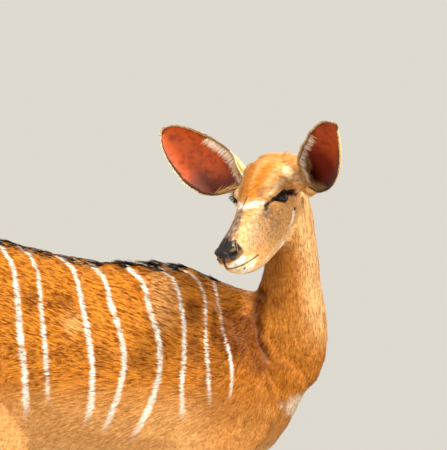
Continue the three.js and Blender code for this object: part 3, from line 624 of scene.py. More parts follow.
    # The dark line between the lips is painted shade of the slit between them.
    lips_away, along_lips = from_mouth(head)
    seam = eased(lips_away, 1.9 + 0.5 * eased(hx, 120, 98), 0.8) * along_lips
    corners = np.maximum.reduce([
        stroke(fold, (14, 40, 8), (29, 32, 6), 3.6),
        stroke(fold, (-22, 49, -3), (-38, 49.5, -13), 4.6),
        0.85 * stroke(fold, (-38, 49.5, -14), (-53, 46, -26), 3.0),
        0.8 * spot(fold, (31, 33, 1), (5, 6, 4)),
        stroke(fold, (-2, 52, -10), (-24, 50, -20), 2.0),
    ])
    streaky = eased(wander(head * [0.3, 1, 1], 2.4, 15), -0.5, 0.5)
    fields["grey"] = fields["grey"] + face * (0.85 * bridge + 0.45 * dash)
    fields["black"] = fields["black"] + face * (
        bridge * (0.5 * streaky + 0.6 * eased(hx, 124, 140)) + 0.75 * crease + 0.9 * philtrum
        + 0.9 * seam + corners + nostril + 0.55 * pad * eased(hz, -14, -22)
    )
    # The top of the pad is a lighter, bluish black: painted sheen on the wet skin; its lower part is darker.
    fields["wet_sheen"] = face * pad * (1 - nostril) * (1 - 0.6 * eased(hz, -14, -22))
    fields["white"] = fields["white"] * (1 - face * pad)
    return {key: np.clip(value, 0, 1) for key, value in fields.items()}


MARKS = ("tan", "pale", "cream", "deep", "grey", "white", "black", "wet_sheen")
marks = markings_at(body, normal, blend)


def put_field(mesh, name, values):
    """Writes a value for each point of a mesh, as its attribute."""
    kind = "FLOAT_VECTOR" if np.ndim(values) == 2 else "FLOAT"
    attribute = mesh.attributes.new(name, kind, "POINT")
    key = "vector" if np.ndim(values) == 2 else "value"
    attribute.data.foreach_set(key, np.ascontiguousarray(values, np.float32).ravel())


for name in MARKS:
    put_field(skin.data, name, marks[name])

# The tones of a nyala ewe, as linear colours. deep also serves as painted shade and shadow on the neck and
# shoulder, grey as painted shade in the hollow of the cheek, and the nose's wet tone as a painted bluish
# sheen.
TONES = {
    "rufous": (0.48, 0.165, 0.015),
    "tan": (0.56, 0.260, 0.075),
    "pale": (0.66, 0.350, 0.125),
    "cream": (0.80, 0.630, 0.370),
    "deep": (0.175, 0.048, 0.004),
    "grey": (0.19, 0.145, 0.125),
    "white": (0.86, 0.800, 0.720),
    "black": (0.012, 0.008, 0.007),
    "wet_sheen": (0.022, 0.018, 0.021),
}


def node(tree, kind, **settings):
    made = tree.nodes.new(kind)
    for key, value in settings.items():
        setattr(made, key, value)
    return made


def blend_colour(tree, share, below, above, mode="MIX"):
    """A Mix node for two colours. Each argument is a socket or a value."""
    made = node(tree, "ShaderNodeMix", data_type="RGBA", blend_type=mode, clamp_factor=True)
    for index, value in ((0, share), (6, below), (7, above)):
        if isinstance(value, bpy.types.NodeSocket):
            tree.links.new(value, made.inputs[index])
        else:
            made.inputs[index].default_value = value if index == 0 else (*value, 1)
    return made.outputs[2]


def ranged(tree, value, lowest, highest, start, end, **settings):
    """A value's run from lowest to highest, as a run from start to end."""
    made = node(tree, "ShaderNodeMapRange", **settings)
    for name, number in zip(("From Min", "From Max", "To Min", "To Max"), (lowest, highest, start, end)):
        made.inputs[name].default_value = number
    tree.links.new(value, made.inputs["Value"])
    return made.outputs[0]


def times(tree, value, factor):
    """The value times another socket or number."""
    made = node(tree, "ShaderNodeMath", operation="MULTIPLY")
    tree.links.new(value, made.inputs[0])
    if isinstance(factor, bpy.types.NodeSocket):
        tree.links.new(factor, made.inputs[1])
    else:
        made.inputs[1].default_value = factor
    return made.outputs[0]


def noise(tree, place, **settings):
    """Noise at a place. Each setting is the name of an input and its value."""
    made = node(tree, "ShaderNodeTexNoise")
    for name, value in settings.items():
        made.inputs[name].default_value = value
    tree.links.new(place, made.inputs["Vector"])
    return made.outputs["Fac"]


def raise_surface(tree, height, strength, distance):
    """Puts fine relief on the material's surface."""
    bump = node(tree, "ShaderNodeBump")
    bump.inputs["Strength"].default_value = strength
    bump.inputs["Distance"].default_value = distance
    tree.links.new(height, bump.inputs["Height"])
    tree.links.new(bump.outputs[0], tree.nodes["Principled BSDF"].inputs["Normal"])


def new_material(name, roughness, specular):
    """A material with its nodes and its shader."""
    material = bpy.data.materials.new(name)
    material.use_nodes = True
    shader = material.node_tree.nodes["Principled BSDF"]
    shader.inputs["Roughness"].default_value = roughness
    shader.inputs["Specular IOR Level"].default_value = specular
    return material, material.node_tree, shader


def coat_colours():
    """Group: the shares of the coat's colours come in, and one colour with the play of hairs goes out."""
    tree = bpy.data.node_groups.new("coat colours", "ShaderNodeTree")
    for name in MARKS:
        tree.interface.new_socket(name=name, in_out="INPUT", socket_type="NodeSocketFloat")
    tree.interface.new_socket(name="tone", in_out="INPUT", socket_type="NodeSocketFloat")
    tree.interface.new_socket(name="colour", in_out="OUTPUT", socket_type="NodeSocketColor")
    given = node(tree, "NodeGroupInput")
    result = node(tree, "NodeGroupOutput")
    colour = TONES["rufous"]
    for name in MARKS:
        colour = blend_colour(tree, given.outputs[name], colour, TONES[name])
    brightness = ranged(tree, given.outputs["tone"], -1, 1, 0.30, 1.62)
    combined = node(tree, "ShaderNodeCombineColor")
    # Dark hairs are redder than light ones.
    for channel, power in {"Red": 0.75, "Green": 1.0, "Blue": 1.25}.items():
        raised = node(tree, "ShaderNodeMath", operation="POWER")
        raised.inputs[1].default_value = power
        tree.links.new(brightness, raised.inputs[0])
        tree.links.new(raised.outputs[0], combined.inputs[channel])
    shaded = blend_colour(tree, 1.0, colour, combined.outputs[0], "MULTIPLY")
    tree.links.new(shaded, result.inputs["colour"])
    return tree


colours_group = coat_colours()


def attribute(tree, name, output="Fac"):
    return node(tree, "ShaderNodeAttribute", attribute_name=name).outputs[output]


def coat_material(name, roughness, specular, tone):
    """Hair or haired skin: the group's colour on a dull surface."""
    material, tree, shader = new_material(name, roughness, specular)
    group = node(tree, "ShaderNodeGroup", node_tree=colours_group)
    for mark in MARKS:
        tree.links.new(attribute(tree, mark), group.inputs[mark])
    tree.links.new(tone(tree), group.inputs["tone"])
    tree.links.new(group.outputs["colour"], shader.inputs["Base Color"])
    return material


def skin_grain(tree):
    """Fine short strokes between the tufts, from noise drawn out along the trunk."""
    place = node(tree, "ShaderNodeTexCoord").outputs["Object"]
    stretch = node(tree, "ShaderNodeMapping")
    stretch.inputs["Scale"].default_value = (90, 260, 200)
    tree.links.new(place, stretch.inputs["Vector"])
    grain = noise(tree, stretch.outputs[0], Scale=1.0, Detail=3)
    raise_surface(tree, grain, 0.5, 0.001)
    return ranged(tree, grain, 0.3, 0.7, -0.7, 0.4)


DRY, WET = 0.62, 0.24
haired_skin = coat_material("haired skin", DRY, 0.22, skin_grain)
# The nose is bare and wet: smoother on the top of its pad, whose lighter bluish colour is a painted sheen.
skin_tree = haired_skin.node_tree
wetness = ranged(skin_tree, attribute(skin_tree, "wet_sheen"), 0, 1, DRY, WET)
skin_tree.links.new(wetness, skin_tree.nodes["Principled BSDF"].inputs["Roughness"])
skin.data.materials.append(haired_skin)

# Coat: short hair that lies flat, in tufts a millimetre or so wide that overlap along its lie. Each
# tuft is a blade of five faces, rooted in the skin and lit as the skin below it is.
def tuft_tone(tree):
    return attribute(tree, "tone")


coat_look = coat_material("coat hair", 0.55, 0.04, tuft_tone)
UNWRAP_CELLS = {
    "torso": (0.0, 0.5, 1.0, 0.5), "neck": (0.0, 0.25, 0.3, 0.25), "head": (0.3, 0.25, 0.35, 0.25),
    "tail": (0.65, 0.25, 0.15, 0.25), "foreleg_right": (0.0, 0.0, 0.25, 0.25),
    "foreleg_left": (0.25, 0.0, 0.25, 0.25), "hindleg_right": (0.5, 0.0, 0.25, 0.25),
    "hindleg_left": (0.75, 0.0, 0.25, 0.25),
}


def unwrapped(points, which):
    """A place on the hide laid flat: each part is cut along its inside and rolled out in its cell."""
    head = head_frame(points)
    result = np.zeros((len(points), 2))
    middles = {
        "torso": (0, 1, 2, (0, 700), (-580, 270)), "neck": (2, 0, 1, (200, -40), (600, 1080)),
        "tail": (2, 0, 1, (-600, 0), (500, 900)),
    }
    for number, name in enumerate(FLESH):
        mine = which == number
        if not mine.any():
            continue
        if name == "head":
            flat = head[mine]
            turn = np.arctan2(flat[:, 1], flat[:, 2] + 30)
            along = (flat[:, 0] + 120) / 300
        else:
            a, b, c, middle, reach = middles.get(name, (2, 0, 1, None, (0, 860)))
            flat = points[mine]
            if middle is None:
                middle = (52 if "fore" in name else -480, 70 if "left" in name else -70)
            turn = np.arctan2(flat[:, c] - middle[1], flat[:, b] - middle[0])
            along = (flat[:, a] - reach[0]) / (reach[1] - reach[0])
        u, v, wide, high = UNWRAP_CELLS[name]
        result[mine, 0] = u + wide * (0.02 + 0.96 * np.clip(along, 0, 1))
        result[mine, 1] = v + high * (0.02 + 0.96 * (turn / (2 * math.pi) + 0.5))
    return result


BLADE = np.array([0.0, 0.34, 0.7])  # shares of the length at which a blade has a pair of points
ROOT_DEPTH = 0.9
PATCH = 0.003  # size of a tuft's place on the unwrap


def blades(name, roots, up, along, length, wide, lift, fall, fields, flat, look, blunt=0.75):
    """A mesh of tufts. lift is how steeply a tuft leaves the skin and fall how much it bends back.

    A field has one value for each tuft, or four: at its root, at each pair of points and at its tip.
    """
    count = len(roots)
    side = np.cross(up, along)
    side /= np.maximum(np.linalg.norm(side, axis=1), 1e-9)[:, None]
    places = np.empty((count, 7, 3))
    lit = np.empty((count, 7, 3))
    shares = np.array([0, 0, BLADE[1], BLADE[1], BLADE[2], BLADE[2], 1.0])
    widths = np.array([-0.7, 0.7, -1, 1, -blunt, blunt, 0])
    for i, (t, w) in enumerate(zip(shares, widths)):
        rise = length * (lift * t - fall * t * t) - ROOT_DEPTH
        middle = roots + along * (length * t)[:, None] + up * rise[:, None]
        places[:, i] = middle + side * (wide / 2 * w)[:, None]
        lit[:, i] = up + 0.25 * along * (t - 0.5) + 0.28 * side * np.sign(w)
    lit /= np.linalg.norm(lit, axis=2)[:, :, None]
    shape = np.array([[0, 3, 1], [0, 2, 3], [2, 5, 3], [2, 4, 5], [4, 6, 5]])
    index = (np.arange(count)[:, None, None] * 7 + shape).reshape(-1)
    mesh = bpy.data.meshes.new(name)
    mesh.vertices.add(count * 7)
    mesh.vertices.foreach_set("co", placed(places.reshape(-1, 3)).astype(np.float32).ravel())
    mesh.loops.add(len(index))
    mesh.loops.foreach_set("vertex_index", index.astype(np.int32))
    mesh.polygons.add(len(index) // 3)
    mesh.polygons.foreach_set("loop_start", np.arange(0, len(index), 3, dtype=np.int32))
    mesh.update(calc_edges=True)
    for key, values in fields.items():
        at_points = values[:, [0, 0, 1, 1, 2, 2, 3]] if values.ndim == 2 else np.repeat(values, 7)
        put_field(mesh, key, at_points.ravel())
    put_field(mesh, "along", np.tile(shares, count))
    spread_out = np.stack([widths / 2, shares - 0.5], axis=1) * PATCH
    patches = (flat[:, None, :] + spread_out[None]).reshape(-1, 2)
    uv = mesh.uv_layers.new(name="OFBake")
    uv.data.foreach_set("uv", patches[index].astype(np.float32).ravel())
    mesh.polygons.foreach_set("use_smooth", np.ones(len(index) // 3, bool))
    mesh.normals_split_custom_set_from_vertices(lit.reshape(-1, 3).astype(np.float32))
    mesh.materials.append(look)
    piece = bpy.data.objects.new(name, mesh)
    bpy.context.scene.collection.objects.link(piece)
    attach(piece, "root")
    return piece


draw = np.random.default_rng(7)
first, second, third = hide[faces].transpose(1, 0, 2)
area = np.linalg.norm(np.cross(second - first, third - first), axis=1) / 2
lower_leg = eased(body[:, 2], 430, 330) * blend["legs"]
bare = blend["head"] * eased(head[:, 0] + 0.25 * head[:, 2], 129, 133) * eased(head[:, 2], -40, -34)
in_eye = blend["head"] * spot(fold, EYE_AT + [0, 4, 0], (21, 22, 14)) * (fold[:, 1] > 20)
in_crown = blend["head"] * eased(fold[:, 2], 8, 22)
tufted = spot(fold, (-84, 10, 42), (16, 26, 14)) * in_crown  # fluffy hair between the ears
hair_length = 5 * tufted + (
    14 * blend["torso"] + 12 * blend["neck"] + (12 - 5 * lower_leg) * blend["legs"]
    + (4.2 + 3.5 * eased(head[:, 0], 20, -80)) * blend["head"] + 20 * blend["tail"]
)
hair_wide = (
    1.35 * blend["torso"] + 1.2 * blend["neck"] + 1.1 * blend["legs"] + 0.75 * blend["head"]
    + 1.4 * blend["tail"]
)
thickness_of_growth = (
    1.0 * blend["torso"] + 1.3 * blend["neck"] + 1.0 * blend["legs"] + 4.2 * blend["head"]
    + 1.0 * blend["tail"]
) * (1 - bare) * (1 - in_eye)


def rooted(total, which, seed):
    """Draws places on the hide, more of them where the growth is denser."""
    draw = np.random.default_rng(seed)
    weight = area * thickness_of_growth[faces].mean(axis=1) * which[faces].mean(axis=1)
    ladder = np.cumsum(weight) / weight.sum()
    chosen = np.searchsorted(ladder, (np.arange(total) + draw.random(total)) / total)
    chosen = np.minimum(chosen, len(faces) - 1)
    a, b = draw.random(total), draw.random(total)
    over = a + b > 1
    a[over], b[over] = 1 - a[over], 1 - b[over]
    return faces[chosen], np.stack([1 - a - b, a, b], axis=1), draw


def strokes_at(points, part, seed):
    """Locks of hair that lie together, as random values drawn out along the lie of the coat."""
    head = head_frame(points)
    x, y, z = points.T
    steep = 0.42 * eased(z, 665, 740) - 0.5 * eased(z, 670, 590)
    across = z + steep * (x + 120)
    level = np.stack([(x - steep * z) / 6, y, across], axis=1)
    slanted = np.stack([(x + 1.6 * z) / 12, y, (1.6 * x - z) / 1.9], axis=1)
    upright = np.stack([x + 0.1 * z, y, (z - 0.1 * x) / 5], axis=1)
    swept = np.stack([head[:, 0] / 4, head[:, 1], head[:, 2]], axis=1)
    shoulder = part["torso"] * (x > 95)
    most = np.argmax([
        part["torso"] - shoulder, shoulder, part["neck"] + part["legs"] + part["tail"], part["head"]
    ], axis=0)
    size = np.array([1.7, 1.8, 2.2, 1.8])[most][:, None]
    drawn_out = np.stack([level, slanted, upright, swept])[most, np.arange(len(points))]
    return wander(drawn_out / size, 1.0, seed)


def grow_coat(name, total, which, seed):
    """Short coat on the part of the hide that which names, as one piece."""
    threes, shares, draw = rooted(total, which, seed)

    def read(field):
        if np.ndim(field) == 1:
            return np.sum(field[threes] * shares, axis=1)
        return np.sum(field[threes] * shares[:, :, None], axis=1)

    roots = read(body)
    up = read(normal)
    up /= np.linalg.norm(up, axis=1)[:, None]
    along = tangent(read(lie), up)
    side = np.cross(up, along)
    part = {key: read(field) for key, field in blend.items()}
    # Hairs part and gather: neighbouring tufts turn, lift and shade together.
    wide_clump = wander(roots, 19, 22)
    turn = 0.14 * wander(roots, 11, 23) + 0.08 * draw.standard_normal(total) + 0.14 * wide_clump
    along = along * np.cos(turn)[:, None] + side * np.sin(turn)[:, None]
    length = read(hair_length) * (0.75 + 0.4 * draw.random(total))
    lift = 0.24 + 0.28 * read(tufted) + 0.10 * strokes_at(roots, part, 21)
    lift += 0.05 * draw.standard_normal(total)
    contrast = 0.34 + 0.66 * np.clip(part["torso"] + part["legs"], 0, 1) * eased(roots[:, 2], 625, 720)
    contrast *= 1 - 0.45 * part["torso"] * eased(roots[:, 0], 110, 160)
    contrast *= 1 - 0.45 * part["head"]
    speck = (0.2 - 0.14 * part["head"] - 0.1 * part["legs"]) * draw.standard_normal(total)
    fields = {key: np.empty((total, 4)) for key in (*MARKS, "tone")}
    for station, share in enumerate((0, *BLADE[1:], 1)):
        place = roots + along * (0.8 * share * length)[:, None]
        for key, value in markings_at(place, up, part).items():
            fields[key][:, station] = value
        fields["tone"][:, station] = contrast * (
            1.9 * strokes_at(place, part, 24) + 0.35 * strokes_at(place * 0.5, part, 25)
        ) + 0.2 * wide_clump * contrast + speck
    nearest_vertex = threes[np.arange(total), np.argmax(shares, axis=1)]
    flat = unwrapped(roots, belongs[nearest_vertex])
    wide = read(hair_wide) * (0.8 + 0.4 * draw.random(total))
    fall = 0.10 + 0 * lift
    return blades(name, roots, up, along, length, wide, lift, fall, fields, flat, coat_look)


SHARE = 1.0
KINDS = ("torso", "neck", "head", "legs", "tail")
most_of = np.argmax([blend[name] for name in KINDS], axis=0)
on = {name: (most_of == number).astype(float) for number, name in enumerate(KINDS)}
right, left = (body[:, 1] < 0).astype(float), (body[:, 1] >= 0).astype(float)
front = (body[:, 0] > -190).astype(float)
grow_coat("coat_side_right_front", int(30000 * SHARE), on["torso"] * right * front, 1)
grow_coat("coat_side_right_back", int(26000 * SHARE), on["torso"] * right * (1 - front), 2)
grow_coat("coat_side_left_front", int(26000 * SHARE), on["torso"] * left * front, 3)
grow_coat("coat_side_left_back", int(24000 * SHARE), on["torso"] * left * (1 - front), 4)
grow_coat("coat_neck", int(27000 * SHARE), on["neck"], 5)
grow_coat("coat_head", int(34000 * SHARE), on["head"], 6)
fore = (body[:, 0] > -200) * 1.0
grow_coat("coat_forelegs", int(18000 * SHARE), on["legs"] * fore, 7)
grow_coat("coat_hindlegs", int(26000 * SHARE), on["legs"] * (1 - fore), 8)

# Crest: a ridge of stiff black bristles along the spine that lean back, many with whitish tips. They
# are rooted deep in the skin over the withers, the back and the rump.
CREST_FROM, CREST_TO = 112, -515


def bristle_look():
    """Black, or brown where the hair is marked so, with a whitish tip on some."""
    material, tree, shader = new_material("bristle", 0.6, 0.12)
    ramp = ranged(tree, attribute(tree, "along"), 0.45, 0.85, 0, 1, interpolation_type="SMOOTHSTEP")
    tip = times(tree, ramp, attribute(tree, "tipped"))
    colour = blend_colour(tree, attribute(tree, "brown"), (0.009, 0.006, 0.005), (0.36, 0.13, 0.035))
    colour = blend_colour(tree, tip, colour, (0.62, 0.52, 0.42))
    tree.links.new(colour, shader.inputs["Base Color"])
    return material


bristles = bristle_look()
total = int(14000 * SHARE)
spine_x = CREST_FROM + (CREST_TO - CREST_FROM) * (np.arange(total) + draw.random(total)) / total
spine_y = 2.6 * draw.standard_normal(total).clip(-1.7, 1.7)
surface = BVHTree.FromPolygons([Vector(p) for p in hide], faces.tolist())
starts = placed(np.stack([spine_x, spine_y, np.full(total, 1000.0)], axis=1))
hits = [surface.ray_cast(Vector(s), Vector((0, 0, -1))) for s in starts]
crest_root = body_frame([list(h[0]) for h in hits])
crest_up = np.array([list(h[1]) for h in hits])
fan = 0.012 * spine_y + 0.04 * draw.standard_normal(total)
crest_along = tangent(np.stack([-np.ones(total), fan, np.zeros(total)], axis=1), crest_up)
hump = np.exp(-(((spine_x + 34) / 62) ** 2))
middle_rise = 0.18 + 0.20 * hump - 0.012 * np.abs(spine_y) + 0.03 * draw.standard_normal(total)
ends = eased(spine_x, CREST_FROM, CREST_FROM - 60) * eased(spine_x, CREST_TO, CREST_TO + 60)
crest_length = (18 + 12 * draw.random(total) + 8 * hump) * (0.55 + 0.45 * ends)
crest_fields = {
    "tipped": (draw.random(total) < 0.22) * (0.5 + 0.5 * draw.random(total)),
    "brown": (draw.random(total) < 0.06) * draw.random(total),
}
crest_flat = unwrapped(crest_root, np.zeros(total, int))
blades(
    "crest", crest_root, crest_up, crest_along, crest_length, 1.0 + 0.4 * draw.random(total),
    middle_rise * ends, 0.12 + 0 * spine_x, crest_fields, crest_flat, bristles, blunt=0.8,
)

# Tail: a dock with a brush of long soft hair, reddish above and white below, that hangs to the hocks.
tail_total = int(12000 * SHARE)
threes, shares, draw = rooted(tail_total, on["tail"], 31)
tail_root = np.sum(body[threes] * shares[:, :, None], axis=1)
tail_up = np.sum(normal[threes] * shares[:, :, None], axis=1)
tail_up /= np.linalg.norm(tail_up, axis=1)[:, None]
tail_along = tangent(
    np.stack([
        -0.05 + 0.03 * draw.standard_normal(tail_total), 0.04 * draw.standard_normal(tail_total),
        -np.ones(tail_total),
    ], axis=1) + 0.1 * tail_up, tail_up,
)
down = eased(tail_root[:, 2], 880, 760)
tail_length = (18 + 30 * down) * (0.75 + 0.4 * draw.random(tail_total)) * eased(tail_root[:, 2], 500, 570)
tail_length = np.maximum(tail_length, 8)
behind = eased(tail_up[:, 0], 0.1, 0.5)
tail_fields = {key: np.zeros(tail_total) for key in MARKS}
tail_fields["tan"] = 0.65 + 0 * behind
tail_fields["white"] = 0.9 * behind
uneven = tail_root[:, 2] + 12 * draw.standard_normal(tail_total)
tail_fields["black"] = 0.75 * eased(uneven, 560, 530) * (1 - behind)
tail_fields["tone"] = 0.3 * wander(tail_root, 7, 33) + 0.15 * draw.standard_normal(tail_total)
blades(
    "tail_hair", tail_root, tail_up, tail_along, tail_length, 0.9 + 0.5 * draw.random(tail_total),
    0.12 + 0.03 * draw.standard_normal(tail_total), 0.05 + np.zeros(tail_total), tail_fields,
    unwrapped(tail_root, np.full(tail_total, FLESH.index("tail"))), coat_look,
)

# Ears: a sheet of gristle under thin skin, rolled shut at the root and open as a spoon above. Inside
# they are bare and orange with a fringe of pale hair; outside they have short tawny hair.
EAR_LENGTH = 195
EAR_HALF = 51
# Where each ear's tip lies from its root, where its mouth opens to, and how far it bows, in the
# body's frame
EARS = {
    "right": {"tip": (-162, 46, 95), "open": (-0.03, -0.97, -0.2), "bow": (-5, 4, -11)},
    "left": {"tip": (36, -164, 97), "open": (-0.81, -0.45, -0.3), "bow": (9, -9, -1)},
}
# The shape from root to tip, as pairs of a value and a place from 0 to 1: half the breadth, degrees
# that the sheet wraps to each side, how far its back stands behind the line to the tip, thickness
ear_half = [
    (16, -0.12), (20, 0), (28, 0.1), (43, 0.22), (EAR_HALF, 0.36), (EAR_HALF, 0.5), (45, 0.66),
    (36, 0.8), (26, 0.9), (16, 0.96), (5, 1),
]
ear_wrap = [(168, -0.12), (158, 0), (125, 0.12), (84, 0.28), (62, 0.45), (50, 0.7), (44, 1)]
ear_back = [(17, -0.12), (21, 0.2), (15, 0.5), (10, 0.8), (5, 1)]
ear_thick = [(5, -0.12), (4, 0.3), (3, 0.8), (2.2, 1)]


def ear_axes(side):
    along = np.array(EARS[side]["tip"], float)
    along /= np.linalg.norm(along)
    mouth = np.array(EARS[side]["open"], float)
    mouth -= along * (mouth @ along)
    mouth /= np.linalg.norm(mouth)
    return along, mouth, np.cross(along, mouth)


def ear_place(side, s, v, inward):
    """A point of the ear: s from root to tip, v from -1 to 1 across, inward of its outer face."""
    along, mouth, across = ear_axes(side)
    base = HEAD_TURN @ EAR_ROOTS[side] + HEAD_AT
    wrap = np.radians(smooth_line(ear_wrap, s))
    half = smooth_line(ear_half, s)
    radius = np.where(wrap > math.pi / 2, half, half / np.sin(wrap))
    bend = np.sin(math.pi * np.maximum(s, 0) ** 0.8)
    axis = base + np.outer(EAR_LENGTH * s, along) + np.outer(radius - smooth_line(ear_back, s), mouth)
    axis += np.outer(bend, EARS[side]["bow"])
    turn = wrap * v
    reach = radius - inward * smooth_line(ear_thick, s)
    return axis + np.outer(reach * np.sin(turn), across) - np.outer(reach * np.cos(turn), mouth)


def ear_look(name, inside):
    """Flushed bare skin inside, with painted shade at its foot and along its lower edge; tawny skin outside.
    """
    material, tree, shader = new_material(name, 0.6 if inside else 0.75, 0.2)
    place = node(tree, "ShaderNodeTexCoord").outputs["Object"]
    mottle = noise(tree, place, Scale=62, Detail=8, Roughness=0.72)
    speck = ranged(tree, mottle, 0.46, 0.66, 0, 1)
    if inside:
        # depth and shade carry painted shade inside the ear.
        colour = blend_colour(tree, attribute(tree, "depth"), (0.47, 0.075, 0.012), (0.13, 0.010, 0.003))
        colour = blend_colour(tree, attribute(tree, "shade"), colour, (0.095, 0.038, 0.032))
        colour = blend_colour(tree, times(tree, speck, 0.75), colour, (0.15, 0.012, 0.004))
    else:
        colour = blend_colour(tree, speck, (0.66, 0.38, 0.13), (0.54, 0.26, 0.07))
    colour = blend_colour(tree, attribute(tree, "rim"), colour, (0.02, 0.013, 0.010))
    tree.links.new(colour, shader.inputs["Base Color"])
    raise_surface(tree, mottle, 0.35, 0.0008)
    return material


ear_inside_look = ear_look("ear inside", True)
ear_back_look = ear_look("ear back", False)
EAR_ROWS, EAR_COLUMNS = 60, 36
EAR_PAINTED_SHADE = {"right": 0.0, "left": 0.42}  # the left ear is turned from the light: its inside gets more painted shade


def make_ear(side):
    """One face is a grid laid along the ear; its thickness is a second face joined at the rim."""
    make = {}
    for face in ("outer", "inner"):
        deselect()
        bpy.ops.mesh.primitive_grid_add(x_subdivisions=EAR_COLUMNS, y_subdivisions=EAR_ROWS, size=2)
        sheet = bpy.context.active_object
        flat = points_of(sheet.data)
        v = flat[:, 0]
        t = (flat[:, 1] + 1) / 2
        s = -0.12 + 1.12 * np.sin(math.pi / 2 * t)
        inward = (face == "inner") * 1.0
        set_points(sheet.data, placed(ear_place(side, s, v, inward + 0.06)))
        upper = v if side == "right" else -v
        edge = np.minimum(1 - np.abs(v), (1 - s) / 0.22)
        ragged = 0.03 * wander(points_of(sheet.data) / MM, 7, 41)
        dark_rim = eased(edge + ragged, 0.10, 0.045) * (0.6 + 0.4 * eased(upper, 0.5, -0.2))
        put_field(sheet.data, "rim", 0.95 * dark_rim * eased(s, 0.0, 0.09))
        # Painted shade deep in the ear's cup toward its foot, more in the left ear, which is turned from the
        # light; painted shade also along the lower edge.
        put_field(sheet.data, "depth", np.clip(eased(s, 0.42, 0.12) + EAR_PAINTED_SHADE[side], 0, 0.95))
        put_field(sheet.data, "shade", 0.85 * eased(upper + ragged * 4, 0.0, -0.5) * eased(s, 0.66, 0.42))
        make[face] = sheet
    deselect()
    for sheet in make.values():
        sheet.select_set(True)
    ear = make["outer"]
    ear.data.materials.append(ear_back_look)
    make["inner"].data.materials.append(ear_inside_look)
    bpy.context.view_layer.objects.active = ear
    bpy.ops.object.join()
    ear.name = f"ear_skin_{side}"
    bpy.ops.object.mode_set(mode="EDIT")
    bpy.ops.mesh.select_all(action="DESELECT")
    mesh = bmesh.from_edit_mesh(ear.data)
    for line in mesh.edges:
        line.select_set(line.is_boundary)
    bpy.ops.mesh.bridge_edge_loops()
    bpy.ops.mesh.select_all(action="SELECT")
    bpy.ops.mesh.normals_make_consistent(inside=False)
    bpy.ops.object.mode_set(mode="OBJECT")
    bpy.ops.object.shade_smooth_by_angle(angle=math.radians(60))
    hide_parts(f"ear_{side}")
    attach(ear, "root")
    return ear


def ear_hair(side, seed):
    """Short hair on the back and rim, a pale fringe on the upper edge, brown thatch at the foot.

    The fringe lies across the mouth of the ear.
    """
    draw = np.random.default_rng(seed)
    along, mouth, across = ear_axes(side)
    upper = 1 if side == "right" else -1
    total = int(10000 * SHARE)
    kinds = draw.random(total)
    fringe = kinds < (0.032 if side == "right" else 0.018)
    thatch = (kinds >= 0.09) & (kinds < 0.15)
    rim = (kinds >= 0.15) & (kinds < 0.46)
    s = draw.random(total)
    s = np.where(fringe, 0.03 + 0.52 * s**1.3, np.where(thatch, 0.26 * s - 0.03, s**0.9))
    v = draw.uniform(-1, 1, total)
    v = np.where(fringe, upper * (1 - 0.02 * np.abs(v)), v)
    v = np.where(rim, np.sign(v) * (1 - 0.03 * draw.random(total)), v)
    v = np.where(thatch, np.where(v * upper > -0.4, upper, -upper) * (1 - 0.25 * draw.random(total)), v)
    inner = fringe | thatch
    face = np.where(inner, 1.0, 0.0)
    roots = ear_place(side, s, v, face)
    forward = ear_place(side, np.minimum(s + 0.01, 1), v, face) - roots
    forward[s > 0.985] = along
    step = 0.05
    sideways = ear_place(side, s, np.clip(v + step, -1, 1), 0 * v)
    sideways -= ear_place(side, s, np.clip(v - step, -1, 1), 0 * v)
    up = np.cross(forward, sideways)
    up /= np.maximum(np.linalg.norm(up, axis=1), 1e-9)[:, None]
    wrap = np.radians(smooth_line(ear_wrap, s))
    outward = np.outer(np.sin(wrap * v), across) - np.outer(np.cos(wrap * v), mouth)
    up *= np.sign(np.sum(up * outward, axis=1))[:, None]
    up = np.where(inner[:, None], mouth, up)
    edge = sideways / np.linalg.norm(sideways, axis=1)[:, None] * np.sign(v)[:, None]
    lie_ear = forward / np.linalg.norm(forward, axis=1)[:, None]
    lie_ear = np.where(rim[:, None], lie_ear + 0.35 * edge, lie_ear)
    inward = -np.outer(np.sign(v), across)
    lie_ear = np.where(fringe[:, None], inward + 0.45 * along, lie_ear)
    lie_ear = np.where(thatch[:, None], inward - 0.55 * along, lie_ear)
    lie_ear = tangent(lie_ear + 0.14 * draw.standard_normal((total, 3)), up)
    length = np.where(fringe, 12 + 10 * draw.random(total), 6 + 3 * draw.random(total))
    length = np.where(thatch, 16 + 12 * draw.random(total), length) * (1 - 0.35 * eased(s, 0.85, 1))
    lift = np.where(inner, 0.06, 0.10) + 0.05 * draw.standard_normal(total)
    fields = {key: np.zeros(total) for key in MARKS}
    fields["tan"] = 0.9 + np.zeros(total)
    fields["pale"] = np.where(thatch, 0.1, 0.55) + 0.3 * draw.random(total)
    fields["cream"] = np.where(rim, 0.75, 0.15) + 0.5 * eased(s, 0.25, 0.0) * (1 - thatch)
    fields["deep"] = 0.55 * thatch * draw.random(total)
    # The pale fringe is real hair; the extra white on the upper rim toward the tip is painted sunlight on
    # that edge.
    sunlit_upper_rim = rim & (v * upper > 0)
    fields["white"] = (0.35 + 0.5 * draw.random(total)) * fringe + 0.4 * sunlit_upper_rim * eased(s, 0.6, 0.9)
    fields["black"] = np.where(rim & (s > 0.07), (draw.random(total) < 0.22) * 0.8, 0.0)
    fields["tone"] = np.where(fringe, 0.15, 0.3) * draw.standard_normal(total)
    flat = np.stack([(0.81 if side == "right" else 0.9) + 0.08 * s, 0.26 + 0.23 * (v + 1) / 2], axis=1)
    wide = np.where(fringe, 0.55, 0.9)
    blades(
        f"ear_hair_{side}", roots, up, lie_ear, length, wide, lift, np.where(inner, 0.2, 0.08), fields, flat,
        coat_look,
    )


for seed, side in enumerate(EARS):
    make_ear(side)
    ear_hair(side, 50 + seed)

# Eyes: glass in a mounted animal, dark brown with a wide level pupil, under a wet cornea.
EYE_RADIUS = 19.5


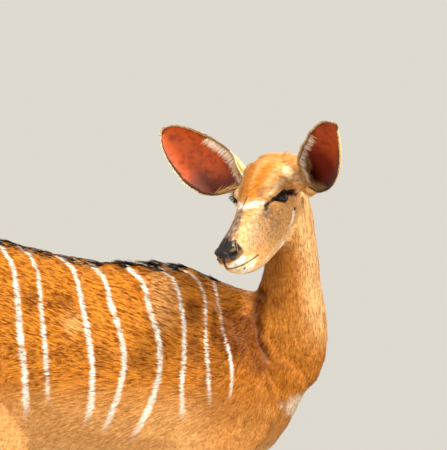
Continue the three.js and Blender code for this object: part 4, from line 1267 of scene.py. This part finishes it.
def eye_look():
    material, tree, shader = new_material("glass eye", 0.10, 0.25)
    iris = attribute(tree, "iris")
    pupil = attribute(tree, "pupil")
    colour = blend_colour(tree, iris, (0.012, 0.006, 0.004), (0.030, 0.012, 0.005))
    colour = blend_colour(tree, pupil, colour, (0.003, 0.0025, 0.003))
    tree.links.new(colour, shader.inputs["Base Color"])
    shader.inputs["Coat Weight"].default_value = 0.12
    shader.inputs["Coat Roughness"].default_value = 0.04
    return material


glass = eye_look()
for side, sign in (("right", -1), ("left", 1)):
    deselect()
    bpy.ops.mesh.primitive_uv_sphere_add(segments=64, ring_count=40, radius=1)
    eye = bpy.context.active_object
    eye.name = f"eyeball_{side}"
    ball = points_of(eye.data)[:, [0, 2, 1]] * [1, sign, 1]
    out = ball[:, 1] * sign
    off = np.hypot(ball[:, 0], ball[:, 2])
    bulge = 1 + 0.035 * eased(off, 0.62, 0.3) * (out > 0)
    centre = EYE_AT * [1, sign, 1]
    set_points(eye.data, from_head(centre + ball * (EYE_RADIUS - 0.1) * bulge[:, None]))
    put_field(eye.data, "iris", eased(off, 0.66, 0.58) * (out > 0))
    wide_pupil = np.hypot(ball[:, 0] / 0.36, ball[:, 2] / 0.20)
    put_field(eye.data, "pupil", eased(wide_pupil, 1.15, 0.85) * (out > 0))
    make_active(eye)
    bpy.ops.object.mode_set(mode="EDIT")
    bpy.ops.mesh.select_all(action="SELECT")
    bpy.ops.mesh.normals_make_consistent(inside=False)
    bpy.ops.object.mode_set(mode="OBJECT")
    bpy.ops.object.shade_smooth()
    eye.data.materials.append(glass)
    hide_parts(f"eye_{side}")
    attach(eye, "root")

# Lids: the bare black rims of the eyelids, moulded in wax round the glass, with lashes set in them.
LID_HALF, LID_RISE, LID_TILT = 20.5, 10.75, math.radians(22)
RIM_WIDE, RIM_THICK = 2.3, 1.5


def lid_line(sign, count=48):
    """Points of the almond between the lids, on the eyeball, in the head's frame."""
    turn = np.linspace(0, 2 * math.pi, count, endpoint=False)
    x = LID_HALF * np.cos(turn)
    t = (x / LID_HALF + 1) / 2
    z = np.where(np.sin(turn) >= 0, 4.1, -3.3) * t * (1 - t) * LID_RISE
    c, s = math.cos(LID_TILT), math.sin(LID_TILT)
    px, pz = c * x - s * z, s * x + c * z
    ball = EYE_RADIUS + 0.6
    off = np.minimum(np.hypot(px, pz), ball * 0.98)
    scale = off / np.maximum(np.hypot(px, pz), 1e-6)
    y = np.sqrt(np.maximum(ball**2 - off**2, 0))
    return np.stack([EYE_AT[0] + px * scale, sign * (EYE_AT[1] + y), EYE_AT[2] + pz * scale], axis=1), turn


def lid_look():
    material, _, shader = new_material("bare black skin", 0.45, 0.2)
    shader.inputs["Base Color"].default_value = (0.008, 0.006, 0.006, 1)
    return material


black_skin = lid_look()
for side, sign in (("right", -1), ("left", 1)):
    line, turn = lid_line(sign)
    around = 10
    rings = []
    centre = EYE_AT * [1, sign, 1]
    ahead = np.roll(line, -1, axis=0) - np.roll(line, 1, axis=0)
    ahead /= np.linalg.norm(ahead, axis=1)[:, None]
    out = line - centre
    out /= np.linalg.norm(out, axis=1)[:, None]
    across = np.cross(ahead, out)
    across /= np.linalg.norm(across, axis=1)[:, None]
    out = np.cross(across, ahead)
    for j in range(around):
        a = 2 * math.pi * j / around
        rings.append(line + RIM_WIDE * math.cos(a) * across + RIM_THICK * math.sin(a) * out)
    ring = np.stack(rings, axis=1)
    points = from_head(ring.reshape(-1, 3))
    count = len(line)
    quads = [
        (i * around + j, i * around + (j + 1) % around, (i + 1) % count * around + (j + 1) % around,
         (i + 1) % count * around + j)
        for i in range(count) for j in range(around)
    ]
    mesh = bpy.data.meshes.new(f"lid_{side}")
    mesh.from_pydata(points.tolist(), [], quads)
    lid = bpy.data.objects.new(f"lid_{side}", mesh)
    bpy.context.scene.collection.objects.link(lid)
    make_active(lid)
    bpy.ops.object.mode_set(mode="EDIT")
    bpy.ops.mesh.select_all(action="SELECT")
    bpy.ops.mesh.normals_make_consistent(inside=False)
    bpy.ops.object.mode_set(mode="OBJECT")
    bpy.ops.object.shade_smooth()
    lid.data.materials.append(black_skin)
    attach(lid, "root")

    # Lashes fan out from the upper lid, longest towards its rear.
    draw = np.random.default_rng(61 + sign)
    lashes = 110
    pick = np.flatnonzero(np.sin(turn) > 0.02)
    place = draw.random(lashes) * (len(pick) - 1)
    low_pick = pick[place.astype(int)]
    share = place - place.astype(int)
    next_pick = pick[np.minimum(place.astype(int) + 1, len(pick) - 1)]
    root = line[low_pick] * (1 - share)[:, None] + line[next_pick] * share[:, None]
    face_out = root - centre
    face_out /= np.linalg.norm(face_out, axis=1)[:, None]
    rear = eased(root[:, 0] - EYE_AT[0], 16, -14)
    sweep = np.stack([0.55 - 1.2 * rear, 0.75 * sign + 0 * rear, -0.30 - 0.25 * rear], axis=1)
    sweep += 0.10 * draw.standard_normal((lashes, 3))
    sweep /= np.linalg.norm(sweep, axis=1)[:, None]
    turned = HEAD_TURN.T
    upright = np.cross(sweep, np.cross(np.array([0, 0, 1.0]), sweep))
    upright /= np.linalg.norm(upright, axis=1)[:, None]
    fields = {"tipped": np.zeros(lashes), "brown": np.zeros(lashes)}
    flat = np.stack([0.97 + 0 * rear, 0.3 + 0.1 * rear], axis=1)
    blades(
        f"lashes_{side}", root @ turned + HEAD_AT, upright @ turned, sweep @ turned, 9 + 11 * rear,
        0.9 + 0 * rear, 0.15 + 0 * rear, -0.15 + 0 * rear, fields, flat, bristles,
    )

# Hooves: two narrow claws of black horn to a foot, and a pair of dewclaws behind the pastern.
def horn_look():
    material, tree, shader = new_material("worn horn", 0.42, 0.5)
    place = node(tree, "ShaderNodeTexCoord").outputs["Object"]
    rings = node(tree, "ShaderNodeTexWave", wave_type="BANDS", bands_direction="Z")
    rings.inputs["Scale"].default_value = 120
    rings.inputs["Distortion"].default_value = 2.5
    rings.inputs["Detail"].default_value = 2
    tree.links.new(place, rings.inputs["Vector"])
    dust = noise(tree, place, Scale=160)
    colour = blend_colour(tree, rings.outputs["Fac"], (0.030, 0.024, 0.020), (0.060, 0.048, 0.038))
    colour = blend_colour(tree, dust, colour, (0.085, 0.066, 0.048))
    tree.links.new(colour, shader.inputs["Base Color"])
    raise_surface(tree, rings.outputs["Fac"], 0.4, 0.0005)
    return material


horn = horn_look()
for name in [n for n in frame["nodes"] if n.startswith(("hoof", "dewclaw"))]:
    claw = copy_of(name)
    claw.name = f"{name}_horn"
    claw.data.materials.clear()
    apply(claw, "REMESH", mode="VOXEL", voxel_size=1.4 * MM)
    apply(claw, "SMOOTH", factor=0.5, iterations=6)
    floor_level = min(v.co.z for v in claw.data.vertices)
    if name.startswith("hoof"):
        points = points_of(claw.data)
        points[:, 2] = np.where(points[:, 2] < floor_level + 1.2 * MM, 0.0, points[:, 2])
        set_points(claw.data, points)
    make_active(claw)
    bpy.ops.object.shade_smooth_by_angle(angle=math.radians(50))
    claw.data.materials.append(horn)
    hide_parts(name)
    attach(claw, "root")

# The room: a plain pale floor, soft light from the upper right as the sun falls in the picture, and
# a camera level with the animal's head and far away.
deselect()
bpy.ops.mesh.primitive_circle_add(vertices=96, radius=5.5, fill_type="NGON", location=(0, 0, -0.0005))
floor = bpy.context.active_object
floor.name = "floor"
pale_floor, _, shader = new_material("pale floor", 0.9, 0.5)
shader.inputs["Base Color"].default_value = (0.42, 0.405, 0.38, 1)
floor.data.materials.append(pale_floor)

world = bpy.data.worlds.new("pale room")
bpy.context.scene.world = world
world.use_nodes = True
world.node_tree.nodes["Background"].inputs["Color"].default_value = (0.80, 0.76, 0.68, 1)
world.node_tree.nodes["Background"].inputs["Strength"].default_value = 0.92


def area_light(name, place, target, size, watts, colour):
    lamp = bpy.data.lights.new(name, "AREA")
    lamp.energy = watts
    lamp.size = size
    lamp.color = colour
    holder = bpy.data.objects.new(name, lamp)
    bpy.context.scene.collection.objects.link(holder)
    holder.location = placed(place)
    toward = Vector(placed(target) - placed(place))
    holder.rotation_euler = toward.to_track_quat("-Z", "Y").to_euler()


area_light("sun", (1900, -1500, 3100), (60, 0, 800), 0.9, 215, (1.0, 0.93, 0.80))
area_light("window", (-1500, -3000, 900), (0, 0, 650), 2.4, 70, (1.0, 0.96, 0.90))
area_light("rim", (1500, 1700, 2300), (150, 0, 850), 0.8, 120, (1.0, 0.92, 0.78))

SENSOR = 36
PICTURE_WIDE = 846  # of the scene at the animal's midline
camera_data = bpy.data.cameras.new("camera")
camera_data.lens = SENSOR * CAMERA_DISTANCE / PICTURE_WIDE
camera_data.sensor_width = SENSOR
camera_data.clip_end = 100  # metres
camera = bpy.data.objects.new("camera", camera_data)
bpy.context.scene.collection.objects.link(camera)
camera.location = placed((PICTURE_MIDDLE[0], -CAMERA_DISTANCE, PICTURE_MIDDLE[1]))
camera.rotation_euler = (math.radians(90), 0, 0)
bpy.context.scene.camera = camera
bpy.context.scene.view_settings.view_transform = "Standard"
